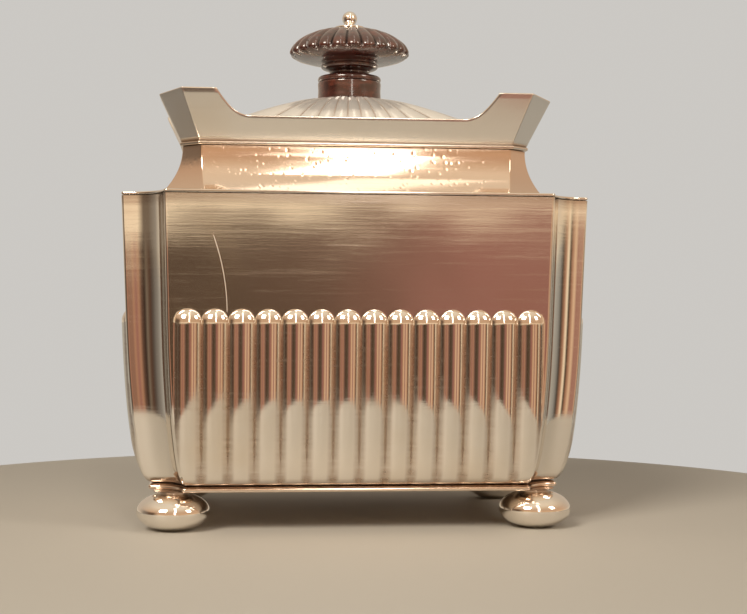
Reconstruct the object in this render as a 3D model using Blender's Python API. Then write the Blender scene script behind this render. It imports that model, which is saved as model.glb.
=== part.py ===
"""A silver sugar box on four bun feet.

The box is rectangular with incurved corners.  Its lower half is fluted, a coved neck rises from
a flat shoulder, and a flared gallery with four raised horns stands round the lid.  The domed lid
is hinged inside the back of the gallery and carries a turned wooden knob on a long finial screw.

Units are metres, +Z is up and the front faces -Y.  The origin is on the table under the centre.
Pieces that touch on the real box keep a gap of 0.3 mm, and solder fills it.
"""
import math

import bmesh
import bpy
import numpy as np

MM = 0.001
GAP = 0.3 * MM                      # between pieces that touch
SHEET = 0.9 * MM                    # thickness of the silver sheet

# Body: a rectangle with a quarter circle cut out of each corner.
BODY_HALF_X = 54.0 * MM
BODY_HALF_Y = 38.0 * MM
NOTCH_RADIUS = 10.0 * MM            # of the incurved corner at the shoulder
NOTCH_SHRINK = 0.33                 # how much of the wall's inset the notch loses
SHOULDER_Z = 77.1 * MM              # top of the flat shoulder
SHOULDER_THICKNESS = 0.7 * MM
WALL_TOP_Z = SHOULDER_Z - SHOULDER_THICKNESS - GAP
WALL_FOOT_Z = 10.7 * MM
WALL_LEAN = 1.0 * MM                # the plain band leans in this much by the top of the flutes
WALL_TUCK = 4.4 * MM                # the fluted part curves in this much more by its foot
WALL_TUCK_POWER = 2.5               # higher keeps the wall upright for longer

# Flutes: convex lobes with domed tops, side by side.
FLUTE_TOP_Z = 50.3 * MM
FLUTE_RELIEF = 1.25 * MM
FLUTE_FADE_START = 0.75             # part of the way down where the relief starts to fade
FLUTE_FADE = 0.75                   # part of the relief that is gone by the foot
FLUTE_COLUMNS = (0.31, 0.5, 0.69, 1.0)   # columns after each crest, as parts of the pitch
FLUTE_PITCH_FRONT = 5.92 * MM
FLUTES_FRONT = 14
FLUTE_PITCH_SIDE = 5.6 * MM
FLUTES_SIDE = 9
WALL_ROWS_Z = [WALL_FOOT_Z] + [z * MM for z in (12.0, 15.5, 22.0, 33.0, 47.3, 49.4, 50.5)]

# Base and feet.
BASE_HALF_X = 47.8 * MM
BASE_HALF_Y = 31.8 * MM
BASE_NOTCH = 7.9 * MM
BASE_STRIP_WIDTH = 9.0 * MM
BASE_Z = 9.06 * MM
BASE_THICKNESS = 1.3 * MM
FLOOR_HALF_X = 45.7 * MM
FLOOR_HALF_Y = 29.7 * MM
FLOOR_NOTCH = 7.9 * MM
FLOOR_THICKNESS = 0.9 * MM
FOOT_X = 42.0 * MM
FOOT_Y = 26.0 * MM
FOOT_RADIUS = 8.4 * MM
FOOT_MIDDLE_Z = 4.25 * MM
FOOT_HALF_HEIGHT = 4.5 * MM
FOOT_NECK_RADIUS = 3.2 * MM
FOOT_RINGS = (0, 0.07, 0.22, 0.5, 0.78, 0.94, 1)     # as parts of the bun's height

# Neck, lid seat and gallery: rectangles with canted corners.
NECK_HALF_X = 40.5 * MM
NECK_HALF_Y = 24.5 * MM
NECK_CANT = 4.4 * MM
NECK_TOP_Z = 88.2 * MM
NECK_FLARE = 5.0 * MM               # how far the cove spreads by its foot
NECK_FLARE_POWER = 2.15             # higher keeps the band upright for longer
NECK_CANT_SPREAD = 1.2              # how much the canted corner widens with the flare
NECK_RINGS = (0, 0.1, 0.22, 0.36, 0.55, 0.78, 1)     # as parts of the neck's height
SHOULDER_MOUTH_INSET = 11.0 * MM    # from the body's side to the hole in the shoulder
SHOULDER_MOUTH_CANT = 9.0 * MM
SEAT_HALF_X = 41.1 * MM
SEAT_HALF_Y = 25.1 * MM
SEAT_Z = NECK_TOP_Z + GAP
SEAT_THICKNESS = 0.8 * MM
SEAT_WIDTH = 4.1 * MM
GALLERY_HALF_X = 40.9 * MM
GALLERY_HALF_Y = 24.9 * MM
GALLERY_CANT = 4.4 * MM
GALLERY_Z = SEAT_Z + SEAT_THICKNESS + GAP
GALLERY_FLARE = 0.478               # outward travel for each unit of height
GALLERY_CANT_SPREAD = 0.128         # the canted corner widens this much for each unit of height
GALLERY_WALL = 1.05 * MM            # measured level
HORN_TOP_Z = 100.9 * MM
RIM_LOW_Z = 95.05 * MM
HORN_FLAT = 7.6 * MM                # level top of a horn, beside its fold
HORN_SWEEP = 8.0 * MM               # length of the curve from the horn down to the low rim
HORN_SWEEP_POWER = 3.4              # higher falls faster beside the horn
HORN_SWEEP_STEPS = (0, 0.07, 0.16, 0.28, 0.44, 0.66, 1)

# Lid.
LID_RIM_Z = GALLERY_Z
LID_RIM_THICKNESS = 0.8 * MM
LID_RIM_HALF_X = 39.0 * MM
LID_RIM_FRONT_Y = -23.0 * MM
LID_RIM_REAR_Y = 21.2 * MM
LID_RIM_MOUTH_X = 33.5 * MM
LID_RIM_MOUTH_Y = 17.5 * MM
LID_CANT = 4.0 * MM
FLANGE_HALF_X = 35.9 * MM
FLANGE_FRONT_Y = -19.9 * MM
FLANGE_REAR_Y = 19.3 * MM
FLANGE_CANT = 3.4 * MM
FLANGE_FOOT_Z = 86.2 * MM
DOME_HALF_X = 36.2 * MM
DOME_HALF_Y = 20.2 * MM
DOME_CANT = 3.6 * MM
DOME_FOOT_Z = LID_RIM_Z + LID_RIM_THICKNESS + GAP
DOME_EDGE = 0.8 * MM
DOME_TOP_Z = 102.4 * MM
DOME_TOP_RADIUS = 7.85 * MM
DOME_POWER = 1.32                   # towards the short sides; above 1 makes the dome convex
DOME_POWER_ACROSS = 1.85            # towards the long sides
DOME_THICKNESS = 1.0 * MM
DOME_RAYS = 32
DOME_RAY_RELIEF = 0.7 * MM
DOME_STEPS = 5

# Hinge, inside the back of the gallery.
HINGE_Y = 22.9 * MM
HINGE_Z = 91.5 * MM
KNUCKLE_RADIUS = 1.4 * MM
KNUCKLE_BORE = 0.9 * MM
KNUCKLE_LENGTH = 8.0 * MM
KNUCKLE_PITCH = KNUCKLE_LENGTH + GAP
PIN_RADIUS = 0.6 * MM

# Knob, from the lid up, and what holds it under the lid.
ROD_RADIUS = 1.2 * MM
ROD_HOLE = 1.6 * MM
COLLAR_RADIUS = 7.85 * MM
COLLAR_FOOT_Z = DOME_TOP_Z + GAP
COLLAR_TOP_Z = 108.7 * MM
CAP_FOOT_Z = COLLAR_TOP_Z + GAP
CAP_WAIST_RADIUS = 4.9 * MM
CAP_TOP_Z = 120.2 * MM
CAP_FLAT_RADIUS = 3.9 * MM
CAP_LOBES = 24
CAP_LOBE_RELIEF = 0.5 * MM
CAP_UNDERSIDE = ((4.9, 109.0), (6.2, 110.4), (7.05, 111.9), (11.0, 112.4), (14.5, 113.6))
CAP_UPPER_SIDE = ((14.9, 114.2, 0.4), (13.8, 116.4, 1.0), (11.9, 117.9, 1.0), (9.2, 119.3, 0.9),
                  (6.0, 120.1, 0.6))   # radius, height and share of the lobes' relief
WASHER_Z = CAP_TOP_Z + GAP
WASHER_THICKNESS = 0.5 * MM
FINIAL_RADIUS = 1.85 * MM
FINIAL_Z = 123.15 * MM              # centre of the ball
FINIAL_NECK_RADIUS = 1.05 * MM
ROD_FOOT_Z = 96.8 * MM
LID_WASHER_Z = 100.4 * MM
LID_WASHER_THICKNESS = 0.7 * MM
LID_WASHER_RADIUS = 4.0 * MM
NUT_Z = 97.9 * MM
NUT_HEIGHT = 2.2 * MM
NUT_RADIUS = 3.2 * MM

ARC_STEPS = 6                       # straight pieces in a quarter circle
TURNED_STEPS = 20                   # sides of a turned piece

SILVER_COLOUR = (0.83, 0.79, 0.73, 1.0)
WOOD_COLOUR = (0.085, 0.022, 0.014, 1.0)


def clear_scene():
    """Remove every object, and the meshes that they leave."""
    for obj in list(bpy.data.objects):
        bpy.data.objects.remove(obj, do_unlink=True)
    for mesh in list(bpy.data.meshes):
        bpy.data.meshes.remove(mesh)


def make_material(name, colour, metallic, roughness):
    """A Principled BSDF with one colour, metallic value and roughness."""
    material = bpy.data.materials.new(name)
    material.use_nodes = True
    shader = material.node_tree.nodes["Principled BSDF"]
    shader.inputs["Base Color"].default_value = colour
    shader.inputs["Metallic"].default_value = metallic
    shader.inputs["Roughness"].default_value = roughness
    return material


def add_object(name, bm, finish, location=(0, 0, 0), turn=0.0, parent=None):
    """Close a bmesh into a named object with its own material, turned about Z and placed."""
    bmesh.ops.recalc_face_normals(bm, faces=bm.faces)
    mesh = bpy.data.meshes.new(name)
    bm.to_mesh(mesh)
    bm.free()
    mesh.shade_smooth()
    mesh.set_sharp_from_angle(angle=math.radians(35))
    obj = bpy.data.objects.new(name, mesh)
    bpy.context.collection.objects.link(obj)
    colour, metallic, roughness = finish
    mesh.materials.append(make_material(name + "_finish", colour, metallic, roughness))
    offset = parent.location if parent else (0, 0, 0)
    obj.location = [place - base for place, base in zip(location, offset)]
    obj.rotation_euler = (0, 0, turn)
    obj.parent = parent
    return obj


SILVER = (SILVER_COLOUR, 1.0, 0.16)
WOOD = (WOOD_COLOUR, 0.0, 0.22)


# --- outlines seen from above, all counter-clockwise from the front right corner ---------------

def notched_outline(half_x, half_y, radius):
    """A rectangle with a quarter circle cut out of each corner."""
    points = []
    for quarter in range(4):
        sign_x = 1 if quarter in (0, 1) else -1
        sign_y = 1 if quarter in (1, 2) else -1
        for step in range(ARC_STEPS + 1):
            angle = step / ARC_STEPS * math.pi / 2
            if quarter in (1, 3):
                angle = math.pi / 2 - angle
            points.append((sign_x * (half_x - radius * math.cos(angle)),
                           sign_y * (half_y - radius * math.sin(angle))))
    return np.array(points)


def canted_outline(half_x, half_y, cant, centre_y=0.0):
    """A rectangle with straight canted corners, with as many points as a notched outline."""
    points = []
    for quarter in range(4):
        sign_x = 1 if quarter in (0, 1) else -1
        sign_y = 1 if quarter in (1, 2) else -1
        for step in range(ARC_STEPS + 1):
            along = step / ARC_STEPS
            if quarter in (1, 3):
                along = 1 - along
            points.append((sign_x * (half_x - cant * (1 - along)),
                           centre_y + sign_y * (half_y - cant * along)))
    return np.array(points)


def octagon(half_x, half_y, cant, centre_y=0.0):
    """The eight corners of a rectangle with canted corners."""
    corners = canted_outline(half_x, half_y, cant, centre_y).reshape(4, ARC_STEPS + 1, 2)
    return corners[:, [0, -1]].reshape(8, 2)


def level(outline, z):
    """Lift an outline to a height, which may be one number or one for each point."""
    return np.column_stack([outline, np.broadcast_to(z, len(outline))])


# --- solids made from loops of points -----------------------------------------------------------

def join_loops(bm, loops, closed):
    """Bridge each loop to the next with quads, and the last to the first when closed."""
    rings = [[bm.verts.new(point) for point in loop] for loop in loops]
    pairs = list(zip(rings, rings[1:]))
    if closed:
        pairs.append((rings[-1], rings[0]))
    for lower, upper in pairs:
        for i in range(len(lower)):
            j = (i + 1) % len(lower)
            bm.faces.new((lower[i], lower[j], upper[j], upper[i]))
    return rings


def ring_solid(loops):
    """A frame or collar: the loops go once round its cross-section."""
    bm = bmesh.new()
    join_loops(bm, loops, closed=True)
    return bm


def plug_solid(loops):
    """A plate: the loops are stacked, and the first and last are filled."""
    bm = bmesh.new()
    rings = join_loops(bm, loops, closed=False)
    bm.faces.new(rings[0])
    bm.faces.new(rings[-1])
    return bm


def turned_solid(profile):
    """Spin a closed (radius, height) outline about Z; points on the axis are merged."""
    bm = bmesh.new()
    verts = [bm.verts.new((radius, 0, z)) for radius, z in profile]
    on_axis = profile[0][0] == 0 and profile[-1][0] == 0
    edges = [bm.edges.new(pair) for pair in zip(verts, verts[1:])]
    if not on_axis:
        edges.append(bm.edges.new((verts[-1], verts[0])))
    bmesh.ops.spin(bm, geom=verts + edges, cent=(0, 0, 0), axis=(0, 0, 1),
                   angle=2 * math.pi, steps=TURNED_STEPS, use_merge=True)
    bmesh.ops.remove_doubles(bm, verts=bm.verts, dist=0.001 * MM)
    return bm


# --- body ------------------------------------------------------------------------------------

def wall_inset(z):
    """How far the wall behind the flutes stands in from the shoulder's edge at height z.

    It leans in evenly, and below the tops of the flutes it also follows a superellipse that
    turns under at the foot.
    """
    lean = WALL_LEAN * (SHOULDER_Z - z) / (SHOULDER_Z - FLUTE_TOP_Z)
    down = min(1.0, max(0.0, (FLUTE_TOP_Z - z) / (FLUTE_TOP_Z - WALL_FOOT_Z)))
    return lean + WALL_TUCK * (1 - math.sqrt(1 - down ** WALL_TUCK_POWER))


def notch_radius(z):
    """Radius of the incurved corner at height z."""
    return NOTCH_RADIUS - NOTCH_SHRINK * wall_inset(z)


def flute_relief(along, z, pitch, count):
    """How far the flutes stand out: half ellipses across, quarter ellipsoids at their tops."""
    radius = pitch / 2
    if abs(along) > pitch * count / 2:
        return 0.0
    shift = 0.5 * pitch if count % 2 == 0 else 0.0
    centre = round((along - shift) / pitch) * pitch + shift
    above = max(0.0, z - (FLUTE_TOP_Z - radius))
    reach = ((along - centre) ** 2 + above ** 2) / radius ** 2
    down = (FLUTE_TOP_Z - z) / (FLUTE_TOP_Z - WALL_FOOT_Z)
    fade = 1 - FLUTE_FADE * (max(0.0, down - FLUTE_FADE_START) / (1 - FLUTE_FADE_START)) ** 2
    return FLUTE_RELIEF * fade * math.sqrt(max(0.0, 1 - reach))


def panel_columns(half_run, z, pitch, count):
    """Where the panel's columns stand: four for each flute, and the last ones squeezed in."""
    outer_crest = pitch * (count - 1) / 2
    inside = [-outer_crest]
    for flute in range(count - 1):
        crest = pitch * flute - outer_crest
        inside += [crest + pitch * part for part in FLUTE_COLUMNS]
    room_at_top = half_run - NOTCH_RADIUS - outer_crest
    room_here = half_run - wall_inset(z) - notch_radius(z) - outer_crest
    squeeze = room_here / room_at_top
    ends = [outer_crest + pitch * part * squeeze for part in FLUTE_COLUMNS[:2]]
    ends.append(outer_crest + room_here)
    return [-end for end in reversed(ends)] + inside + ends


def fan(bm, row, left, right):
    """Triangles from a long row of vertices to the two vertices opposite its ends."""
    middle = len(row) // 2
    for i in range(len(row) - 1):
        bm.faces.new((row[i], row[i + 1], left if i < middle else right))
    bm.faces.new((row[middle], right, left))


def fluted_panel(name, half_run, half_out, pitch, count, turn):
    """One flat side of the body with its flutes, built facing -Y and turned into place."""
    bm = bmesh.new()
    front, back = [], []
    for z in WALL_ROWS_Z + [WALL_TOP_Z]:
        face_y = -(half_out - wall_inset(z))
        columns = panel_columns(half_run, z, pitch, count)
        if z == WALL_TOP_Z:
            columns = [columns[0], columns[-1]]
        front.append([bm.verts.new((x, face_y - flute_relief(x, z, pitch, count), z))
                      for x in columns])
        behind = columns[::2] if z == WALL_FOOT_Z else [columns[0], columns[-1]]
        back.append([bm.verts.new((x, face_y + SHEET, z)) for x in behind])
    for low, high in list(zip(front[:-1], front[1:-1])) + list(zip(back[1:], back[2:])):
        for i in range(len(low) - 1):
            bm.faces.new((low[i], low[i + 1], high[i + 1], high[i]))
    fan(bm, front[-2], *front[-1])
    fan(bm, back[0], *back[1])
    for side in (0, -1):
        for row in range(len(front) - 1):
            bm.faces.new((front[row][side], front[row + 1][side],
                          back[row + 1][side], back[row][side]))
    bm.faces.new(front[-1] + back[-1][::-1])
    for i in range(len(back[0]) - 1):
        near = front[0][2 * i:2 * i + 3]
        bm.faces.new((near[0], near[1], back[0][i]))
        bm.faces.new((near[1], back[0][i + 1], back[0][i]))
        bm.faces.new((near[1], near[2], back[0][i + 1]))
    add_object(name, bm, SILVER, turn=turn)


def corner_strip(name, sign_x, sign_y):
    """The incurved strip between two panels, starting just behind their edges."""
    bm = bmesh.new()
    rows = []
    for z in WALL_ROWS_Z + [WALL_TOP_Z]:
        inset, radius = wall_inset(z), notch_radius(z)
        centre = (BODY_HALF_X - inset, BODY_HALF_Y - inset)
        start = math.asin((SHEET + GAP) / radius)
        angles = np.linspace(start, math.pi / 2 - start, ARC_STEPS + 1)
        front = [(centre[0] - radius * math.cos(a), centre[1] - radius * math.sin(a), z)
                 for a in angles]
        back_radius = radius + SHEET
        back = [(centre[0] - back_radius * math.cos(a), centre[1] - back_radius * math.sin(a), z)
                for a in reversed(angles)]
        rows.append([(sign_x * x, sign_y * y, height) for x, y, height in front + back])
    rings = join_loops(bm, rows, closed=False)
    for ring in (rings[0], rings[-1]):
        for i in range(ARC_STEPS):
            bm.faces.new((ring[i], ring[i + 1], ring[-2 - i], ring[-1 - i]))
    add_object(name, bm, SILVER)


def make_body():
    """Four fluted panels and four incurved corner strips."""
    fluted_panel("front_panel", BODY_HALF_X, BODY_HALF_Y, FLUTE_PITCH_FRONT, FLUTES_FRONT, 0.0)
    fluted_panel("rear_panel", BODY_HALF_X, BODY_HALF_Y, FLUTE_PITCH_FRONT, FLUTES_FRONT, math.pi)
    fluted_panel("right_panel", BODY_HALF_Y, BODY_HALF_X, FLUTE_PITCH_SIDE, FLUTES_SIDE,
                 math.pi / 2)
    fluted_panel("left_panel", BODY_HALF_Y, BODY_HALF_X, FLUTE_PITCH_SIDE, FLUTES_SIDE,
                 -math.pi / 2)
    for end, sign_y in (("front", -1), ("rear", 1)):
        for side, sign_x in (("left", -1), ("right", 1)):
            corner_strip(f"corner_{end}_{side}", sign_x, sign_y)


# --- base and feet ----------------------------------------------------------------------------

def make_base():
    """The floor of the box, and the flat strip under the walls that the feet carry."""
    edge = notched_outline(BASE_HALF_X, BASE_HALF_Y, BASE_NOTCH)
    hole = canted_outline(BASE_HALF_X - BASE_STRIP_WIDTH, BASE_HALF_Y - BASE_STRIP_WIDTH,
                          BASE_NOTCH)
    top_z = BASE_Z + BASE_THICKNESS
    add_object("base_moulding", ring_solid([level(edge, BASE_Z), level(edge, top_z),
                                            level(hole, top_z), level(hole, BASE_Z)]), SILVER)
    floor = notched_outline(FLOOR_HALF_X, FLOOR_HALF_Y, FLOOR_NOTCH)
    floor_z = top_z + GAP
    add_object("base_plate", plug_solid([level(floor, floor_z),
                                         level(floor, floor_z + FLOOR_THICKNESS)]), SILVER)


def make_feet():
    """Four bun feet: an ellipse of revolution cut flat below, with a short neck above."""
    def across(z):
        """Radius of the bun at height z."""
        return FOOT_RADIUS * math.sqrt(1 - ((z - FOOT_MIDDLE_Z) / FOOT_HALF_HEIGHT) ** 2)

    neck_z = FOOT_MIDDLE_Z + FOOT_HALF_HEIGHT * math.sqrt(1 - (FOOT_NECK_RADIUS / FOOT_RADIUS) ** 2)
    profile = [(0, 0)]
    profile += [(across(z), z) for z in np.array(FOOT_RINGS) * neck_z]
    profile += [(FOOT_NECK_RADIUS, BASE_Z - GAP), (0, BASE_Z - GAP)]
    for end, sign_y in (("front", -1), ("rear", 1)):
        for side, sign_x in (("left", -1), ("right", 1)):
            add_object(f"foot_{end}_{side}", turned_solid(profile), SILVER,
                       location=(sign_x * FOOT_X, sign_y * FOOT_Y, 0))


# --- shoulder, neck, seat and gallery -----------------------------------------------------------

def make_shoulder():
    """A flat plate that closes the body's top round the neck."""
    edge = notched_outline(BODY_HALF_X, BODY_HALF_Y, NOTCH_RADIUS)
    hole = canted_outline(BODY_HALF_X - SHOULDER_MOUTH_INSET, BODY_HALF_Y - SHOULDER_MOUTH_INSET,
                          SHOULDER_MOUTH_CANT)
    foot_z = SHOULDER_Z - SHOULDER_THICKNESS
    add_object("shoulder_plate", ring_solid([level(edge, foot_z), level(edge, SHOULDER_Z),
                                             level(hole, SHOULDER_Z), level(hole, foot_z)]), SILVER)


def make_neck():
    """A band whose sides and canted corners spread in a cove down to the shoulder."""
    foot_z = SHOULDER_Z + GAP
    heights = foot_z + (NECK_TOP_Z - foot_z) * np.array(NECK_RINGS)

    def band(z, thickness):
        """Outline of the band at height z, brought in by a thickness."""
        down = (NECK_TOP_Z - z) / (NECK_TOP_Z - foot_z)
        flare = NECK_FLARE * down ** NECK_FLARE_POWER
        return level(octagon(NECK_HALF_X + flare - thickness, NECK_HALF_Y + flare - thickness,
                             NECK_CANT + NECK_CANT_SPREAD * flare), z)

    outside = [band(z, 0.0) for z in heights]
    inside = [band(z, SHEET) for z in reversed(heights)]
    add_object("neck", ring_solid(outside + inside), SILVER)


def make_seat():
    """The ledge that the lid rests on; its outer edge shows as a thin line under the gallery."""
    edge = octagon(SEAT_HALF_X, SEAT_HALF_Y, NECK_CANT)
    hole = octagon(SEAT_HALF_X - SEAT_WIDTH, SEAT_HALF_Y - SEAT_WIDTH, NECK_CANT)
    top_z = SEAT_Z + SEAT_THICKNESS
    add_object("lid_seat", ring_solid([level(edge, SEAT_Z), level(edge, top_z),
                                       level(hole, top_z), level(hole, SEAT_Z)]), SILVER)


def rim_height(from_fold):
    """Height of the gallery's edge at a distance from the nearest fold.

    It is level over the horn, then falls by a power that is steep beside the horn and ends
    level, and stays level along the low rim.
    """
    along = min(1.0, max(0.0, (HORN_FLAT + HORN_SWEEP - from_fold) / HORN_SWEEP))
    return RIM_LOW_Z + (HORN_TOP_Z - RIM_LOW_Z) * along ** HORN_SWEEP_POWER


def gallery_side(half_run, half_out, wall):
    """One side of the gallery facing -Y, as rows of foot and top points from fold to fold."""
    top_run = half_run + (HORN_TOP_Z - GALLERY_Z) * (GALLERY_FLARE - GALLERY_CANT_SPREAD)
    distances = [0.0, HORN_FLAT / 2]
    distances += [HORN_FLAT + HORN_SWEEP * step for step in HORN_SWEEP_STEPS]
    runs = [-(top_run - d) for d in distances] + [top_run - d for d in reversed(distances)]
    rows = []
    for run in runs:
        top_z = rim_height(top_run - abs(run))
        rise = top_z - GALLERY_Z
        foot_run = run * half_run / top_run
        share = rise / (HORN_TOP_Z - GALLERY_Z)
        rows.append(((foot_run, -(half_out - wall), GALLERY_Z),
                     (foot_run + (run - foot_run) * share,
                      -(half_out - wall + rise * GALLERY_FLARE), top_z)))
    return rows


def make_gallery():
    """The flared collar: four sides joined by canted corners, cut away between its horns."""
    def collar(wall):
        """Foot and top loops of the sheet's outer face, or of its inner face."""
        fold = GALLERY_CANT + wall * (math.sqrt(2) - 2)
        feet, tops = [], []
        for quarter in range(4):
            half_run, half_out = GALLERY_HALF_X, GALLERY_HALF_Y
            if quarter % 2:
                half_run, half_out = half_out, half_run
            angle = quarter * math.pi / 2
            turn = np.array([[math.cos(angle), -math.sin(angle)],
                             [math.sin(angle), math.cos(angle)]])
            for foot, top in gallery_side(half_run - wall - fold, half_out, wall):
                feet.append((*(turn @ foot[:2]), foot[2]))
                tops.append((*(turn @ top[:2]), top[2]))
        return feet, tops

    outer_feet, outer_tops = collar(0.0)
    inner_feet, inner_tops = collar(GALLERY_WALL)
    add_object("gallery", ring_solid([outer_feet, outer_tops, inner_tops, inner_feet]), SILVER)


# --- hinge ------------------------------------------------------------------------------------

def knuckle(name, middle_x, block, parent=None):
    """A short tube about the hinge's axis with a solid block on it, all one piece.

    block is the block's (low y, high y, low z, high z) from the axis, which lies inside it.
    """
    low_y, high_y, low_z, high_z = block
    angles = list(np.linspace(0, 2 * math.pi, 16, endpoint=False))
    angles += [math.atan2(z, y) % (2 * math.pi) for y in (low_y, high_y) for z in (low_z, high_z)]
    angles = sorted(set(round(angle, 6) for angle in angles))

    def reach(angle):
        """Distance from the axis to the outside of the tube and block together."""
        y, z = math.cos(angle), math.sin(angle)
        limits = []
        if abs(y) > 1e-9:
            limits.append((high_y if y > 0 else low_y) / y)
        if abs(z) > 1e-9:
            limits.append((high_z if z > 0 else low_z) / z)
        return max(KNUCKLE_RADIUS, min(limits))

    outside = [(reach(a) * math.cos(a), reach(a) * math.sin(a)) for a in angles]
    bore = [(KNUCKLE_BORE * math.cos(a), KNUCKLE_BORE * math.sin(a)) for a in angles]
    loops = []
    for section, x in ((outside, -1), (outside, 1), (bore, 1), (bore, -1)):
        loops.append([(x * KNUCKLE_LENGTH / 2, y, z) for y, z in section])
    add_object(name, ring_solid(loops), SILVER, location=(middle_x, HINGE_Y, HINGE_Z), parent=parent)


def make_hinge(lid_axis):
    """Five knuckles on one pin: three soldered to the seat, two to the lid's rim."""
    seat_block = (-0.9 * MM, 0.6 * MM, LID_RIM_Z - HINGE_Z, 0.1 * MM)
    lid_block = (-2.3 * MM, 0.1 * MM, DOME_FOOT_Z - HINGE_Z, 0.2 * MM)
    for name, place in (("left", -2), ("middle", 0), ("right", 2)):
        knuckle(f"hinge_knuckle_seat_{name}", place * KNUCKLE_PITCH, seat_block)
    for name, place in (("left", -1), ("right", 1)):
        knuckle(f"hinge_knuckle_lid_{name}", place * KNUCKLE_PITCH, lid_block, lid_axis)
    half = 2.5 * KNUCKLE_PITCH
    angles = np.linspace(0, 2 * math.pi, 12, endpoint=False)
    ends = [[(x, PIN_RADIUS * math.cos(a), PIN_RADIUS * math.sin(a)) for a in angles]
            for x in (-half, half)]
    add_object("hinge_pin", plug_solid(ends), SILVER, location=(0, HINGE_Y, HINGE_Z))


# --- lid --------------------------------------------------------------------------------------

def between(front_y, rear_y):
    """Half depth and middle of a piece that reaches from front_y to rear_y."""
    return (rear_y - front_y) / 2, (rear_y + front_y) / 2


def make_lid_frame(lid_axis):
    """The lid's flat rim, and the upright flange that keeps it inside the neck."""
    half_y, middle_y = between(LID_RIM_FRONT_Y, LID_RIM_REAR_Y)
    edge = octagon(LID_RIM_HALF_X, half_y, LID_CANT, middle_y)
    hole = octagon(LID_RIM_MOUTH_X, LID_RIM_MOUTH_Y, LID_CANT)
    top_z = LID_RIM_Z + LID_RIM_THICKNESS
    lift = np.array([0, -HINGE_Y, -HINGE_Z])
    loops = [level(edge, LID_RIM_Z), level(edge, top_z), level(hole, top_z), level(hole, LID_RIM_Z)]
    add_object("lid_rim", ring_solid([loop + lift for loop in loops]), SILVER,
               location=(0, HINGE_Y, HINGE_Z), parent=lid_axis)
    half_y, middle_y = between(FLANGE_FRONT_Y, FLANGE_REAR_Y)
    outer = octagon(FLANGE_HALF_X, half_y, FLANGE_CANT, middle_y)
    inner = octagon(FLANGE_HALF_X - SHEET, half_y - SHEET, FLANGE_CANT, middle_y)
    top_z = LID_RIM_Z - GAP
    loops = [level(outer, FLANGE_FOOT_Z), level(outer, top_z), level(inner, top_z),
             level(inner, FLANGE_FOOT_Z)]
    add_object("lid_flange", ring_solid([loop + lift for loop in loops]), SILVER,
               location=(0, HINGE_Y, HINGE_Z), parent=lid_axis)


def make_dome(lid_axis):
    """The fluted dome: rays run from the knob's round seat out to the canted rectangle."""
    angles = np.linspace(0, 2 * math.pi, 2 * DOME_RAYS, endpoint=False)
    cosine, sine = np.cos(angles), np.sin(angles)
    crest = (np.arange(len(angles)) % 2 == 0).astype(float)
    lift = np.array([0, -HINGE_Y, -HINGE_Z])

    def edge_radius(inset):
        """Distance from the centre to the dome's edge along each ray."""
        half_x, half_y = DOME_HALF_X - inset, DOME_HALF_Y - inset
        sides = np.minimum(half_x / np.maximum(abs(cosine), 1e-6),
                           half_y / np.maximum(abs(sine), 1e-6))
        return np.minimum(sides, (half_x + half_y - DOME_CANT) / (abs(cosine) + abs(sine)))

    def ring(radius, z):
        """One loop of points, at a radius and height along each ray."""
        return np.column_stack([radius * cosine, radius * sine, np.broadcast_to(z, len(angles))])

    def slope(part):
        """Height of the smooth dome, from the knob's seat (0) to the edge (1)."""
        power = DOME_POWER + (DOME_POWER_ACROSS - DOME_POWER) * sine ** 2
        return DOME_TOP_Z - (DOME_TOP_Z - DOME_FOOT_Z - DOME_EDGE) * part ** power

    parts = np.linspace(0, 1, DOME_STEPS)
    loops = [ring(ROD_HOLE, DOME_TOP_Z)]
    for part in parts:
        radius = DOME_TOP_RADIUS + (edge_radius(0) - DOME_TOP_RADIUS) * part
        relief = DOME_RAY_RELIEF * (0.35 + 0.65 * part) * min(1.0, (1 - part) / 0.12, part / 0.05)
        loops.append(ring(radius, slope(part) + relief * crest))
    loops.append(ring(edge_radius(0), DOME_FOOT_Z))
    loops.append(ring(edge_radius(DOME_THICKNESS), DOME_FOOT_Z))
    for part in parts[-2::-1]:
        radius = DOME_TOP_RADIUS + (edge_radius(DOME_THICKNESS) - DOME_TOP_RADIUS) * part
        loops.append(ring(radius, slope(part) - DOME_THICKNESS))
    loops.append(ring(ROD_HOLE, DOME_TOP_Z - DOME_THICKNESS))
    add_object("lid_dome", ring_solid([loop + lift for loop in loops]), SILVER,
               location=(0, HINGE_Y, HINGE_Z), parent=lid_axis)


# --- knob -------------------------------------------------------------------------------------

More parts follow.
